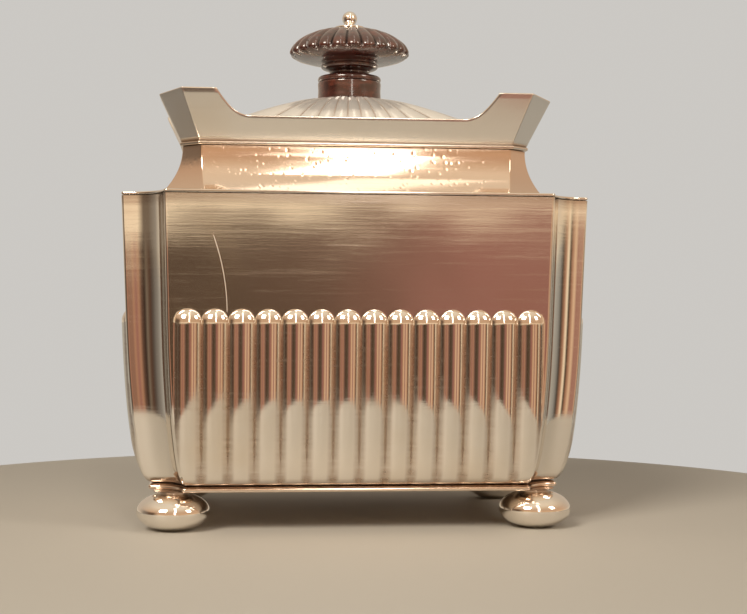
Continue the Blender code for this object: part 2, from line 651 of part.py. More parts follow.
def make_knob(lid_axis):
    """The wooden collar and lobed cap, and the silver washer between cap and finial."""
    low, high = COLLAR_FOOT_Z, COLLAR_TOP_Z
    collar = [(ROD_HOLE, low), (COLLAR_RADIUS - 0.5 * MM, low), (COLLAR_RADIUS, low + 0.8 * MM),
              (COLLAR_RADIUS, high - 1.1 * MM), (COLLAR_RADIUS - 0.6 * MM, high - 0.4 * MM),
              (CAP_WAIST_RADIUS + 0.4 * MM, high), (ROD_HOLE, high)]
    add_object("knob_collar", turned_solid(collar), WOOD, parent=lid_axis)

    angles = np.linspace(0, 2 * math.pi, 2 * CAP_LOBES, endpoint=False)
    crest = (np.arange(len(angles)) % 2 == 0).astype(float)
    under = [(ROD_HOLE, CAP_FOOT_Z, 0.0)] + [(radius * MM, z * MM, 0.0) for radius, z in CAP_UNDERSIDE]
    over = [(radius * MM, z * MM, share) for radius, z, share in CAP_UPPER_SIDE]
    over += [(CAP_FLAT_RADIUS, CAP_TOP_Z, 0.0), (ROD_HOLE, CAP_TOP_Z, 0.0)]
    loops = []
    for radius, z, share in under + over:
        sunk = share * CAP_LOBE_RELIEF * (1 - crest)
        loops.append(np.column_stack([(radius - sunk) * np.cos(angles),
                                      (radius - sunk) * np.sin(angles), z - sunk]))
    add_object("knob_cap", ring_solid(loops), WOOD, parent=lid_axis)

    top_z = WASHER_Z + WASHER_THICKNESS
    washer = [(ROD_HOLE, WASHER_Z), (CAP_FLAT_RADIUS, WASHER_Z), (CAP_FLAT_RADIUS - 0.3 * MM, top_z),
              (ROD_HOLE, top_z)]
    add_object("knob_washer", turned_solid(washer), SILVER, parent=lid_axis)


def make_finial(lid_axis):
    """The ball finial and its long screw, with the washer and nut that hold it under the lid."""
    foot_z = WASHER_Z + WASHER_THICKNESS + GAP
    start = math.asin(FINIAL_NECK_RADIUS / FINIAL_RADIUS)
    profile = [(0, ROD_FOOT_Z), (ROD_RADIUS, ROD_FOOT_Z), (ROD_RADIUS, foot_z),
               (FINIAL_NECK_RADIUS + 0.6 * MM, foot_z), (FINIAL_NECK_RADIUS, foot_z + 0.2 * MM)]
    for angle in np.linspace(start, math.pi, 8):
        radius = FINIAL_RADIUS * math.sin(angle) if angle < math.pi else 0
        profile.append((radius, FINIAL_Z - FINIAL_RADIUS * math.cos(angle)))
    add_object("finial_screw", turned_solid(profile), SILVER, parent=lid_axis)

    top_z = LID_WASHER_Z + LID_WASHER_THICKNESS
    washer = [(ROD_HOLE, LID_WASHER_Z), (LID_WASHER_RADIUS, LID_WASHER_Z),
              (LID_WASHER_RADIUS, top_z), (ROD_HOLE, top_z)]
    add_object("lid_washer", turned_solid(washer), SILVER, parent=lid_axis)

    sides = 6
    loops = []
    for radius, z in ((ROD_HOLE, NUT_Z), (NUT_RADIUS, NUT_Z), (NUT_RADIUS, NUT_Z + NUT_HEIGHT),
                      (ROD_HOLE, NUT_Z + NUT_HEIGHT)):
        angles = np.linspace(0, 2 * math.pi, sides * 4, endpoint=False)
        reach = np.full(len(angles), radius)
        if radius == NUT_RADIUS:
            flat = math.pi / sides
            reach = radius * math.cos(flat) / np.cos((angles + flat) % (2 * flat) - flat)
        loops.append(np.column_stack([reach * np.cos(angles), reach * np.sin(angles),
                                      np.full(len(angles), z)]))
    add_object("lid_nut", ring_solid(loops), SILVER, parent=lid_axis)


clear_scene()
make_body()
make_base()
make_feet()
make_shoulder()
make_neck()
make_seat()
make_gallery()

hinge_axis = bpy.data.objects.new("lid_hinge_axis", None)
hinge_axis.location = (0, HINGE_Y, HINGE_Z)
bpy.context.collection.objects.link(hinge_axis)
make_hinge(hinge_axis)
make_lid_frame(hinge_axis)
make_dome(hinge_axis)
make_knob(hinge_axis)
make_finial(hinge_axis)
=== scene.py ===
"""A silver sugar box on four bun feet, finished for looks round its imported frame.

The frame gives every piece its place and size; this script gives each its finest surface and its
finish.  Lengths are in metres, +Z is up and the front faces -Y.
"""
import math

import bmesh
import bpy
import numpy as np
from mathutils import Matrix, Vector


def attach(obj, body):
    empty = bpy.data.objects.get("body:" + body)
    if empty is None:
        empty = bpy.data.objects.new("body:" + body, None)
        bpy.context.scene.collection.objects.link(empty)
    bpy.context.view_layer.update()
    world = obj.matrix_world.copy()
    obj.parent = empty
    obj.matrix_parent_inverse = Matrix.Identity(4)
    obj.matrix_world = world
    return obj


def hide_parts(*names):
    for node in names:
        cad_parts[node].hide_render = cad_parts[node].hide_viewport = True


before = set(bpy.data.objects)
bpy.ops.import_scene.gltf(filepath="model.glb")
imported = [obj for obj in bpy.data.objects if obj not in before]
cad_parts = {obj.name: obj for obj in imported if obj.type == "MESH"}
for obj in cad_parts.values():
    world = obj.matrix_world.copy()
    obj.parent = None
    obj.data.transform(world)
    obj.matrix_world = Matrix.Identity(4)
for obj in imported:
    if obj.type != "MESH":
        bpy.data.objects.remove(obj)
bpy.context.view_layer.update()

MM = 0.001


# --- Camera ---------------------------------------------------------
# It stands a third of a metre off, level with the middle of the box and a little to its left,
# and is turned and tipped very slightly.
CAMERA_PLACE = (-0.0281, -0.3555, 0.0507)
CAMERA_TURN = math.radians(-5.533)
CAMERA_TIP = math.radians(0.082)
CAMERA_ROLL = math.radians(0.282)

camera = bpy.data.objects.new("camera", bpy.data.cameras.new("camera"))
camera.data.sensor_width = 36.0
camera.data.lens = 68.77
camera.data.clip_start = 0.01
aim = (Matrix.Rotation(CAMERA_TURN, 4, "Z") @ Matrix.Rotation(math.pi / 2 + CAMERA_TIP, 4, "X")
       @ Matrix.Rotation(CAMERA_ROLL, 4, "Z"))
camera.location = CAMERA_PLACE
camera.rotation_euler = aim.to_euler()
bpy.context.collection.objects.link(camera)
bpy.context.scene.camera = camera
bpy.context.scene.view_settings.view_transform = "Standard"


# --- Studio ---------------------------------------------------------
# A round pale plinth to stand on, a warm dim room with a pale wall, and large soft lamps in front
# and overhead.  The lamps and the plinth are what polished silver shows.
PLINTH_RADIUS = 0.156
PLINTH_HEIGHT = 0.03
PLINTH_EDGE = 0.004
PLINTH_COLOUR = (0.62, 0.58, 0.51, 1.0)
SHARP_ANGLE = math.radians(60)
MERGE_DISTANCE = 0.0005 * MM
SLIVER_DISTANCE = 0.0001 * MM

OLIVE, MAROON, COPPERY = (0.075, 0.046, 0.026), (0.31, 0.135, 0.098), (0.42, 0.21, 0.12)
TAN, CREAM, SOOT = (0.72, 0.46, 0.28), (0.95, 0.74, 0.50), (0.035, 0.020, 0.012)
GREY, BLACK, DARKEST = (0.22, 0.20, 0.17), (0.0, 0.0, 0.0), (0.85, 0.85, 0.85)
ROOM_BY_BEARING = (
    (-180, GREY), (-120, (0.30, 0.27, 0.23)), (-98, GREY), (-86, SOOT), (-74, COPPERY), (-66, CREAM),
    (-60, SOOT), (-50, (0.16, 0.08, 0.05)), (-42, COPPERY), (-35, MAROON), (-28, COPPERY),
    (-20, (0.20, 0.10, 0.07)), (-12, OLIVE), (0, (0.105, 0.065, 0.040)), (5, (0.16, 0.085, 0.055)),
    (9, MAROON), (14, MAROON), (20, COPPERY), (27, TAN), (34, MAROON), (42, TAN), (50, COPPERY),
    (58, SOOT), (64, CREAM), (72, COPPERY), (84, SOOT), (96, GREY), (120, (0.34, 0.30, 0.25)),
    (180, GREY))
ROOM_BY_HEIGHT = (
    (0, CREAM), (3.0, (0.80, 0.56, 0.36)), (5.5, (0.56, 0.34, 0.20)), (12, (0.60, 0.37, 0.22)),
    (25, (0.58, 0.37, 0.23)), (38, (0.66, 0.47, 0.31)), (55, (0.80, 0.64, 0.47)),
    (90, (0.80, 0.68, 0.53)))
ROOM_DARK_LEFT = (
    (-180, BLACK), (-130, BLACK), (-105, DARKEST), (-62, DARKEST), (-45, BLACK), (180, BLACK))
DARK_COLOUR = (0.055, 0.032, 0.022, 1.0)
BACK_COLOUR = (0.52, 0.47, 0.39, 1.0)
SEEN_COLOUR = (0.60, 0.58, 0.55, 1.0)
FILL_COLOUR = (0.80, 0.74, 0.66, 1.0)
FILL_STRENGTH = 0.10


def feed(tree, part, inputs):
    """Set a node's inputs from (name or number, value or another node's output) pairs."""
    for key, value in inputs:
        if isinstance(value, bpy.types.NodeSocket):
            tree.links.new(value, part.inputs[key])
        else:
            part.inputs[key].default_value = value


def node(tree, kind, inputs=(), **settings):
    """Add a shader node with its settings and its inputs."""
    new = tree.nodes.new("ShaderNode" + kind)
    for key, value in settings.items():
        setattr(new, key, value)
    feed(tree, new, inputs)
    return new


def calc(tree, operation, *values):
    """The result of one sum or function of one to three values."""
    return node(tree, "Math", enumerate(values), operation=operation).outputs[0]


def remap(tree, value, low, high, start=0.0, end=1.0):
    """How far a value has come from low to high, and no farther, as a value from start to end."""
    return node(tree, "MapRange", [("Value", value), ("From Min", low), ("From Max", high),
                                   ("To Min", start), ("To Max", end)]).outputs["Result"]


def mixed(tree, share, first, second):
    """The first colour where the share is 0, going over to the second where it is 1."""
    return node(tree, "MixRGB", [("Fac", share), ("Color1", first), ("Color2", second)]).outputs[0]


def axes(tree, vector):
    """The three numbers of a vector."""
    return node(tree, "SeparateXYZ", [("Vector", vector)]).outputs[:3]


def new_material(name):
    """A material with the usual shader: the material, its tree and the shader."""
    material = bpy.data.materials.new(name)
    material.use_nodes = True
    return material, material.node_tree, material.node_tree.nodes["Principled BSDF"]


def ramp(tree, value, stops, lowest=0.0, highest=1.0):
    """A colour ramp over a range of values; stops are (value, colour) pairs in rising order."""
    new = node(tree, "ValToRGB", [("Fac", remap(tree, value, lowest, highest))])
    elements = new.color_ramp.elements
    while len(elements) < len(stops):
        elements.new(0.5)
    for element, (place, colour) in zip(elements, stops):
        element.position = (place - lowest) / (highest - lowest)
        element.color = (*colour, 1.0)
    return new.outputs["Color"]


def grid_faces(rows, columns, wrap_rows=True, wrap_columns=True):
    """Quads between neighbours in a grid numbered row by row; a wrapped way joins last to first."""
    row, column = np.meshgrid(np.arange(rows if wrap_rows else rows - 1),
                              np.arange(columns if wrap_columns else columns - 1), indexing="ij")
    up, along = (row + 1) % rows, (column + 1) % columns
    quads = np.stack([row * columns + column, row * columns + along,
                      up * columns + along, up * columns + column], axis=-1)
    return quads.reshape(-1, 4)


def mesh_object(name, grid, material, wrap_rows=True, shade_and_tarnish=None):
    """A closed smooth mesh from a grid of points whose columns go all the way round.

    The rows either go round a cross-section too, or run from pole to pole.  Points that fall
    together are merged, and the faces are turned out if the volume they enclose is negative.
    The last argument is how far each point is darkened, from 0 to 1: painted shade in grooves, creases
    and under edges, and an even darkening on some pieces.
    """
    rows, columns = grid.shape[:2]
    mesh = bpy.data.meshes.new(name)
    mesh.from_pydata(grid.reshape(-1, 3).tolist(), [], grid_faces(rows, columns, wrap_rows).tolist())
    values = np.zeros(rows * columns) if shade_and_tarnish is None else np.broadcast_to(shade_and_tarnish, (rows, columns))
    mesh.attributes.new("shade_and_tarnish", "FLOAT", "POINT").data.foreach_set(
        "value", np.clip(values, 0, 1).astype(np.float32).ravel())
    shape = bmesh.new()
    shape.from_mesh(mesh)
    bmesh.ops.remove_doubles(shape, verts=shape.verts, dist=MERGE_DISTANCE)
    bmesh.ops.dissolve_degenerate(shape, edges=shape.edges, dist=SLIVER_DISTANCE)
    if shape.calc_volume(signed=True) < 0:
        bmesh.ops.reverse_faces(shape, faces=shape.faces)
    shape.to_mesh(mesh)
    shape.free()
    mesh.shade_smooth()
    mesh.set_sharp_from_angle(angle=SHARP_ANGLE)
    mesh.materials.append(material)
    made = bpy.data.objects.new(name, mesh)
    bpy.context.collection.objects.link(made)
    return made


def soft_lamp(name, place, target, width, height, power, colour):
    """A rectangular lamp at a place, facing a target, with its width level."""
    lamp = bpy.data.lights.new(name, "AREA")
    lamp.shape = "RECTANGLE"
    lamp.size, lamp.size_y, lamp.energy, lamp.color = width, height, power, colour
    made = bpy.data.objects.new(name, lamp)
    away = (Vector(place) - Vector(target)).normalized()
    level = Vector((0, 0, 1)).cross(away).normalized()
    made.rotation_euler = Matrix((level, away.cross(level), away)).transposed().to_euler()
    made.location = place
    bpy.context.collection.objects.link(made)


def pairs(x, y):
    """Points from their two coordinates."""
    return np.stack([x, y], axis=-1)


def quarter_round(radius, steps=4):
    """A quarter circle from (radius, 0) down to (0, radius): inset from the edge, and rise."""
    turn = np.linspace(0, math.pi / 2, steps + 1)
    return pairs(radius * (1 - np.sin(turn)), radius * (1 - np.cos(turn)))


def full_turn(steps):
    """Even angles all the way round."""
    return np.linspace(0, 2 * math.pi, steps, endpoint=False)


def round_grid(radius, angle, height, centre=(0.0, 0.0)):
    """Points by their distance from an upright line through a centre, their angle and height."""
    radius, height = np.broadcast_arrays(radius, height)
    return np.stack([centre[0] + radius * np.cos(angle), centre[1] + radius * np.sin(angle), height],
                    axis=-1)


def turned(profile, steps, centre=(0.0, 0.0)):
    """Carry a profile of (radius, height) points round the vertical line through a centre."""
    profile = np.asarray(profile, float)
    radius = np.repeat(profile[:, :1], steps, axis=1)
    return round_grid(radius, full_turn(steps), profile[:, 1:2], centre)


def make_plinth():
    """The plinth: a disc with a rounded upper edge."""
    edge = (PLINTH_RADIUS, 0) - quarter_round(PLINTH_EDGE, 6)[:, ::-1]
    profile = np.concatenate([[(0, -PLINTH_HEIGHT), (PLINTH_RADIUS, -PLINTH_HEIGHT)], edge, [(0, 0)]])
    material, tree, shader = new_material("plinth_plaster")
    feed(tree, shader, [("Base Color", PLINTH_COLOUR), ("Roughness", 0.6)])
    mesh_object("plinth", turned(profile, 160), material, wrap_rows=False)


def make_room():
    """The surroundings that the silver shows, as colours by compass direction and height.

    Low down all round is a ramp over the bearing from the front, in degrees.  It gives way to a
    ramp over the height at a horizon that stands a degree higher on the right.  The left side
    is dark up to about 20 degrees, and the back is greyer.  What the eye sees directly is a
    plain pale wall, and a weak even light fills the rest.
    """
    world = bpy.data.worlds.new("room")
    world.use_nodes = True
    bpy.context.scene.world = world
    tree = world.node_tree
    tree.nodes.clear()
    x, y, z = axes(tree, node(tree, "TexCoord").outputs["Generated"])
    bearing = calc(tree, "DEGREES", calc(tree, "ARCTAN2", x, calc(tree, "MULTIPLY", y, -1.0)))
    height = calc(tree, "DEGREES", calc(tree, "ARCSINE", z))
    low = ramp(tree, bearing, ROOM_BY_BEARING, -180, 180)
    high = ramp(tree, height, ROOM_BY_HEIGHT, 0, 90)
    tilted = calc(tree, "ADD", height, remap(tree, bearing, -15.0, 15.0, 1.0, -0.2))
    shown = mixed(tree, remap(tree, tilted, -0.45, 0.10), low, high)
    left = ramp(tree, bearing, ROOM_DARK_LEFT, -180, 180)
    dark = calc(tree, "MULTIPLY", left, remap(tree, height, 14.0, 24.0, 1.0, 0.0))
    shown = mixed(tree, dark, shown, DARK_COLOUR)
    shown = mixed(tree, remap(tree, y, -0.2, 0.7, 0.0, 0.7), shown, BACK_COLOUR)
    path = node(tree, "LightPath").outputs
    pale, warm, fill = (
        node(tree, "Background", [("Color", colour), ("Strength", strength)]).outputs[0]
        for colour, strength in ((SEEN_COLOUR, 1.0), (shown, 1.0), (FILL_COLOUR, FILL_STRENGTH)))
    inner = node(tree, "MixShader", [(0, path["Is Glossy Ray"]), (1, fill), (2, warm)])
    whole = node(tree, "MixShader", [(0, path["Is Camera Ray"]), (1, inner.outputs[0]), (2, pale)])
    node(tree, "OutputWorld", [("Surface", whole.outputs[0])])


make_plinth()
make_room()
soft_lamp("lamp_left", (-0.55, -0.75, 0.75), (0, 0, 0.05), 0.40, 0.40, 8.5, (1.0, 0.91, 0.79))
soft_lamp("lamp_right", (0.75, -0.55, 0.60), (0, 0, 0.05), 0.25, 0.35, 2.0, (1.0, 0.90, 0.78))
soft_lamp("lamp_above", (0.078, -0.15, 0.95), (0.03, 0, 0.10), 0.11, 0.40, 0.15, (1.0, 0.92, 0.80))
soft_lamp("lamp_high", (0.083, -0.72, 0.72), (0.0, 0, 0.08), 0.080, 0.75, 0.9, (1.0, 0.93, 0.82))
soft_lamp("lamp_front", (0.088, -1.00, 0.32), (0.0, 0, 0.08), 0.075, 0.40, 0.45, (1.0, 0.94, 0.84))


# --- Body wall ------------------------------------------------------
# One raised sheet of silver, bent to a rectangle with incurved corners and soldered up.  Convex
# flutes with domed tops are chased into its lower half, and its foot turns under.
BODY_HALF_X = 54.0 * MM
BODY_HALF_Y = 38.0 * MM
SHOULDER_Z = 77.1 * MM
WALL_TOP_Z = 76.25 * MM
WALL_FOOT_Z = 10.7 * MM
WALL_LEAN = 1.0 * MM
WALL_TUCK = 4.4 * MM
WALL_SHEET = 0.9 * MM
NOTCH_RADIUS = 10.0 * MM
NOTCH_SHRINK = 0.33
ARRIS_RADIUS = 0.8 * MM
FLUTE_TOP_Z = 50.3 * MM
FLUTE_RELIEF = 1.25 * MM
FLUTE_SOFT = 0.10 * MM              # how rounded the grooves between flutes are
LONG_SIDE = (BODY_HALF_X, BODY_HALF_Y, 5.92 * MM, 14)
SHORT_SIDE = (BODY_HALF_Y, BODY_HALF_X, 5.60 * MM, 9)
FLUTE_PARTS = np.array([-1, -0.94, -0.82, -0.64, -0.43, -0.21, 0, 0.21, 0.43, 0.64, 0.82, 0.94])
ARRIS_STEPS = 6
NOTCH_STEPS = 16
SILVER = (0.93, 0.88, 0.81)
SILVER_PALE = (0.95, 0.905, 0.84)
SILVER_WARM = (0.89, 0.815, 0.715)
# The dark brown that marked points go towards: painted shade, and an even darkening on some pieces.
SHADE_AND_TARNISH = (0.30, 0.17, 0.09, 1.0)
# A tan tint mixed into the silver's colour as a painted warm reflection of the room.
WARM_REFLECTION_TINT = (0.84, 0.58, 0.40, 1.0)
SCRATCH_X = -29.9 * MM
SCRATCH_FOOT_Z = 49.6 * MM
SCRATCH_HEIGHT = 17.9 * MM
SCRATCH_BEND = 10.3                 # for each metre
SCRATCH_ROUGHNESS = 0.45
DARKENED_ROUGHNESS = 0.30
# Painted shade on the wall: in the flutes' grooves, fading upwards; in a wedge at their feet; along the
# wall's foot above the base; and under the shoulder's edge.
GROOVE_FADE = 8.0 * MM
GROOVE_SHADE_REACH = 0.14 * MM
WEDGE_HEIGHT = 5.0 * MM
FOOT_SHADE_HEIGHT = 1.6 * MM
SEAM_SHADE_HEIGHT = 0.5 * MM
FLUTES_FREE_Z = 44.3 * MM           # the rows are level up to here
FLUTES_CLEAR_Z = 52.3 * MM          # and from here up


def noise(tree, place, scale, detail, *others):
    """Soft noise from 0 to 1 at a place."""
    inputs = [("Vector", place), ("Scale", scale), ("Detail", detail), *others]
    return node(tree, "TexNoise", inputs).outputs["Fac"]


def bump(tree, height, depth, strength, *others):
    """A normal bent by a height of the given depth."""
    inputs = [("Height", height), ("Distance", depth), ("Strength", strength), *others]
    return node(tree, "Bump", inputs).outputs[0]


def piece(name, grid, material, body, slot, *nodes, wrap_rows=True, shade_and_tarnish=None):
    """Build a piece, let it ride on its body, and hide the nodes it stands for.  The slot is not used.
    """
    made = mesh_object(name, grid, material, wrap_rows, shade_and_tarnish)
    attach(made, body)
    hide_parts(*nodes)


def long_scratch(tree, place):
    """How much each point lies on one long shallow scratch down the front: near the curve
    x = start - bend * (z - foot) ** 2, between its two ends, and only on the front."""
    x, y, z = axes(tree, place)
    raised = calc(tree, "SUBTRACT", z, SCRATCH_FOOT_Z)
    curve = calc(tree, "MULTIPLY_ADD", calc(tree, "MULTIPLY", raised, raised), SCRATCH_BEND, x)
    off = calc(tree, "ABSOLUTE", calc(tree, "SUBTRACT", curve, SCRATCH_X))
    share = 1.0
    for value, clear, full in ((off, 0.13 * MM, 0.04 * MM), (raised, 0.0, 0.8 * MM),
                               (raised, SCRATCH_HEIGHT, SCRATCH_HEIGHT - 1.5 * MM),
                               (y, -33 * MM, -35 * MM)):
        share = calc(tree, "MULTIPLY", share, remap(tree, value, clear, full))
    return share


def silver_finish(name, gloss=0.07, rub=(30.0, 30.0, 900.0), rub_depth=0.009, dent_depth=0.05,
                  pit_depth=0.0, haze=0.12, warm_reflection=0.0, dull=0.0, scratched=False):
    """Polished silver: rubbed lines, soft dents, pits, a faint haze, and painted shade where marked.

    rub is how often the rubbed lines change along each axis, for each metre, so the axis with
    the smallest number is the way they run.  Depths are in millimetres, and the dents' is a
    tenth of what the bump is given.  haze is how far the roughness rises in patches,
    warm_reflection how far the base colour is tinted tan as a painted warm reflection of the
    room, and dull how much of its light is scattered.  scratched adds the one long scratch.
    """
    material, tree, shader = new_material(name)
    place = node(tree, "TexCoord").outputs["Object"]
    stretched = node(tree, "Mapping", [("Vector", place), ("Scale", rub)]).outputs["Vector"]
    lines = noise(tree, stretched, 1.0, 7.0, ("Roughness", 0.75))
    patches = noise(tree, place, 42.0, 4.0)
    dents = noise(tree, place, 38.0, 1.0)
    shade_and_tarnish = node(tree, "Attribute", attribute_name="shade_and_tarnish").outputs["Fac"]
    # Painted shade: where marked, the colour goes towards the dark brown, streaked by the rubbed lines,
    # and roughens.
    darkened = calc(tree, "MULTIPLY", shade_and_tarnish, remap(tree, lines, 0.25, 0.75, 0.35, 1.0))
    toned = ramp(tree, patches, [(0.35, SILVER_PALE), (0.55, SILVER), (0.70, SILVER_WARM)])
    # The tan mixed in is a painted warm reflection.
    colour = mixed(tree, darkened, mixed(tree, warm_reflection, toned, WARM_REFLECTION_TINT), SHADE_AND_TARNISH)
    rough = calc(tree, "ADD", remap(tree, lines, 0.52, 0.80, gloss, gloss + haze),
                 remap(tree, patches, 0.5, 0.8, 0.0, haze * 0.4))
    rough = calc(tree, "MULTIPLY_ADD", darkened, DARKENED_ROUGHNESS, rough)
    if scratched:
        rough = calc(tree, "MULTIPLY_ADD", long_scratch(tree, place), SCRATCH_ROUGHNESS, rough)
    normal = bump(tree, dents, dent_depth * MM * 10, 0.35)
    normal = bump(tree, lines, rub_depth * MM, 0.5, ("Normal", normal))
    if pit_depth:
        cells = node(tree, "TexVoronoi", [("Vector", place), ("Scale", 620.0), ("Randomness", 1.0)])
        pits = remap(tree, cells.outputs["Distance"], 0.0, 0.35)
        normal = bump(tree, pits, pit_depth * MM, 0.6, ("Normal", normal))
    feed(tree, shader, [("Base Color", colour), ("Roughness", rough), ("Normal", normal),
                        ("Metallic", 1.0 - dull)])
    return material


def wall_inset(z):
    """How far the wall stands in at height z: an even lean, and below the flutes' tops a
    superellipse too."""
    lean = WALL_LEAN * (SHOULDER_Z - z) / (SHOULDER_Z - FLUTE_TOP_Z)
    down = np.clip((FLUTE_TOP_Z - z) / (FLUTE_TOP_Z - WALL_FOOT_Z), 0, 1)
    return lean + WALL_TUCK * (1 - np.sqrt(1 - down ** 2.5))


def flute_radius(pitch):
    """The radius of an arc that spans one flute and stands out by its relief."""
    return ((pitch / 2) ** 2 + FLUTE_RELIEF ** 2) / (2 * FLUTE_RELIEF)


def nearest_flute(along, pitch, count):
    """The middle of the flute that is nearest to each place."""
    last = pitch * (count - 1) / 2
    return np.clip(np.round((along + last) / pitch), 0, count - 1) * pitch - last


def flute_bulge(along, z, pitch, count):
    """How far the flutes stand out: circular arcs across, and parts of spheres at their tops.

    The arc's own edge is below zero past the flute, and the mean of it and its softened size
    keeps the groove slightly round.  The flutes fade to a quarter over the lowest quarter.
    """
    sphere = flute_radius(pitch)
    above = np.maximum(0, z - (FLUTE_TOP_Z - pitch / 2))
    beside = along - nearest_flute(along, pitch, count)
    arc = np.sqrt(np.maximum(sphere ** 2 - beside ** 2 - above ** 2, 0))
    lobe = arc - (sphere - FLUTE_RELIEF)
    down = (FLUTE_TOP_Z - z) / (FLUTE_TOP_Z - WALL_FOOT_Z)
    fade = 1 - 0.75 * (np.maximum(0, down - 0.75) / 0.25) ** 2
    return fade * (lobe + np.sqrt(lobe ** 2 + FLUTE_SOFT ** 2)) / 2


def flute_columns(half_run, pitch, count):
    """Where the columns stand along a flat at the shoulder: even turns of each flute's arc."""
    half = pitch / 2
    widest = math.asin(half / flute_radius(pitch))
    across = half * np.sin(FLUTE_PARTS * widest) / math.sin(widest)
    centres = pitch * (np.arange(count) - (count - 1) / 2)
    fluted = (centres[:, None] + across).ravel()
    edge = pitch * count / 2
    run = half_run - incurve_reach(NOTCH_RADIUS, ARRIS_RADIUS)
    plain = edge + (run - edge) * np.array([0, 0.08, 0.25, 0.5, 0.75, 0.92, 1])
    return np.concatenate([-plain[:0:-1], fluted, plain])


def incurve_reach(notch, fillet, back=0.0):
    """From the incurve's centre along to where the flat ends and the rounded arris starts."""
    return np.sqrt((notch + fillet) ** 2 - (fillet + back) ** 2)


def incurved_side(centre_x, centre_y, notch, fillet, back, along, bulge):
    """A flat side facing -Y and the incurved corner after it, as rows of (x, y) points.

    The flat stands behind the incurve's centre by back, and runs on to a rounded arris, a
    hollow quarter circle about that centre, and a second arris.  Each argument may differ for
    each row.  along holds the columns of the flat, and bulge how far they stand out.
    """
    reach = incurve_reach(notch, fillet, back)
    lean = np.arcsin((fillet + back) / (notch + fillet))
    part = np.linspace(0, 1, ARRIS_STEPS + 1)
    first = -math.pi / 2 + (math.pi / 2 - lean) * part[1:]
    hollow = math.pi - lean - (math.pi / 2 - 2 * lean) * np.linspace(0, 1, NOTCH_STEPS + 1)[1:]
    second = -math.pi / 2 + lean + (math.pi / 2 - lean) * part[1:-1]
    held = bulge[:, -1:] * np.cos(math.pi / 2 * part[1:]) ** 2
    x = np.concatenate([along, centre_x - reach + fillet * np.cos(first),
                        centre_x + notch * np.cos(hollow),
                        centre_x - back - fillet + fillet * np.cos(second)], axis=1)
    y = np.concatenate([centre_y + back - bulge,
                        centre_y + back + fillet + fillet * np.sin(first) - held,
                        centre_y + notch * np.sin(hollow),
                        centre_y + reach + fillet * np.sin(second)], axis=1)
    return pairs(x, y)


def turned_sides(sides):
    """Join four sides built facing -Y, each turned a quarter further round, into closed rows."""
    joined = []
    for side, (cosine, sine) in zip(sides, ((1, 0), (0, 1), (-1, 0), (0, -1))):
        x, y = side[..., 0], side[..., 1]
        joined.append(pairs(x * cosine - y * sine, x * sine + y * cosine))
    return np.concatenate(joined, axis=1)


def wall_heights(rim, steps):
    """Heights of each column's rows, so that one row follows the rim of the flutes' domes.

    The lowest rows are even turns of the superellipse; then they crowd towards the rim from
    below and from above, and are even again over the plain band.
    """
    foot, dome, over, band = steps
    run = FLUTE_TOP_Z - WALL_FOOT_Z
    start = math.asin(((FLUTE_TOP_Z - FLUTES_FREE_Z) / run) ** 1.25)
    low = FLUTE_TOP_Z - run * np.sin(np.linspace(math.pi / 2, start, foot)) ** 0.8
    below = 1 - (1 - np.linspace(0, 1, dome + 1)[1:]) ** 1.4
    above = np.linspace(0, 1, over + 1)[1:] ** 1.7
    top = FLUTES_CLEAR_Z + (WALL_TOP_Z - FLUTES_CLEAR_Z) * np.linspace(0, 1, band + 1)[1:]
    level = np.ones_like(rim)
    return np.concatenate([low[:, None] * level,
                           FLUTES_FREE_Z + (rim - FLUTES_FREE_Z) * below[:, None],
                           rim + (FLUTES_CLEAR_Z - rim) * above[:, None], top[:, None] * level])


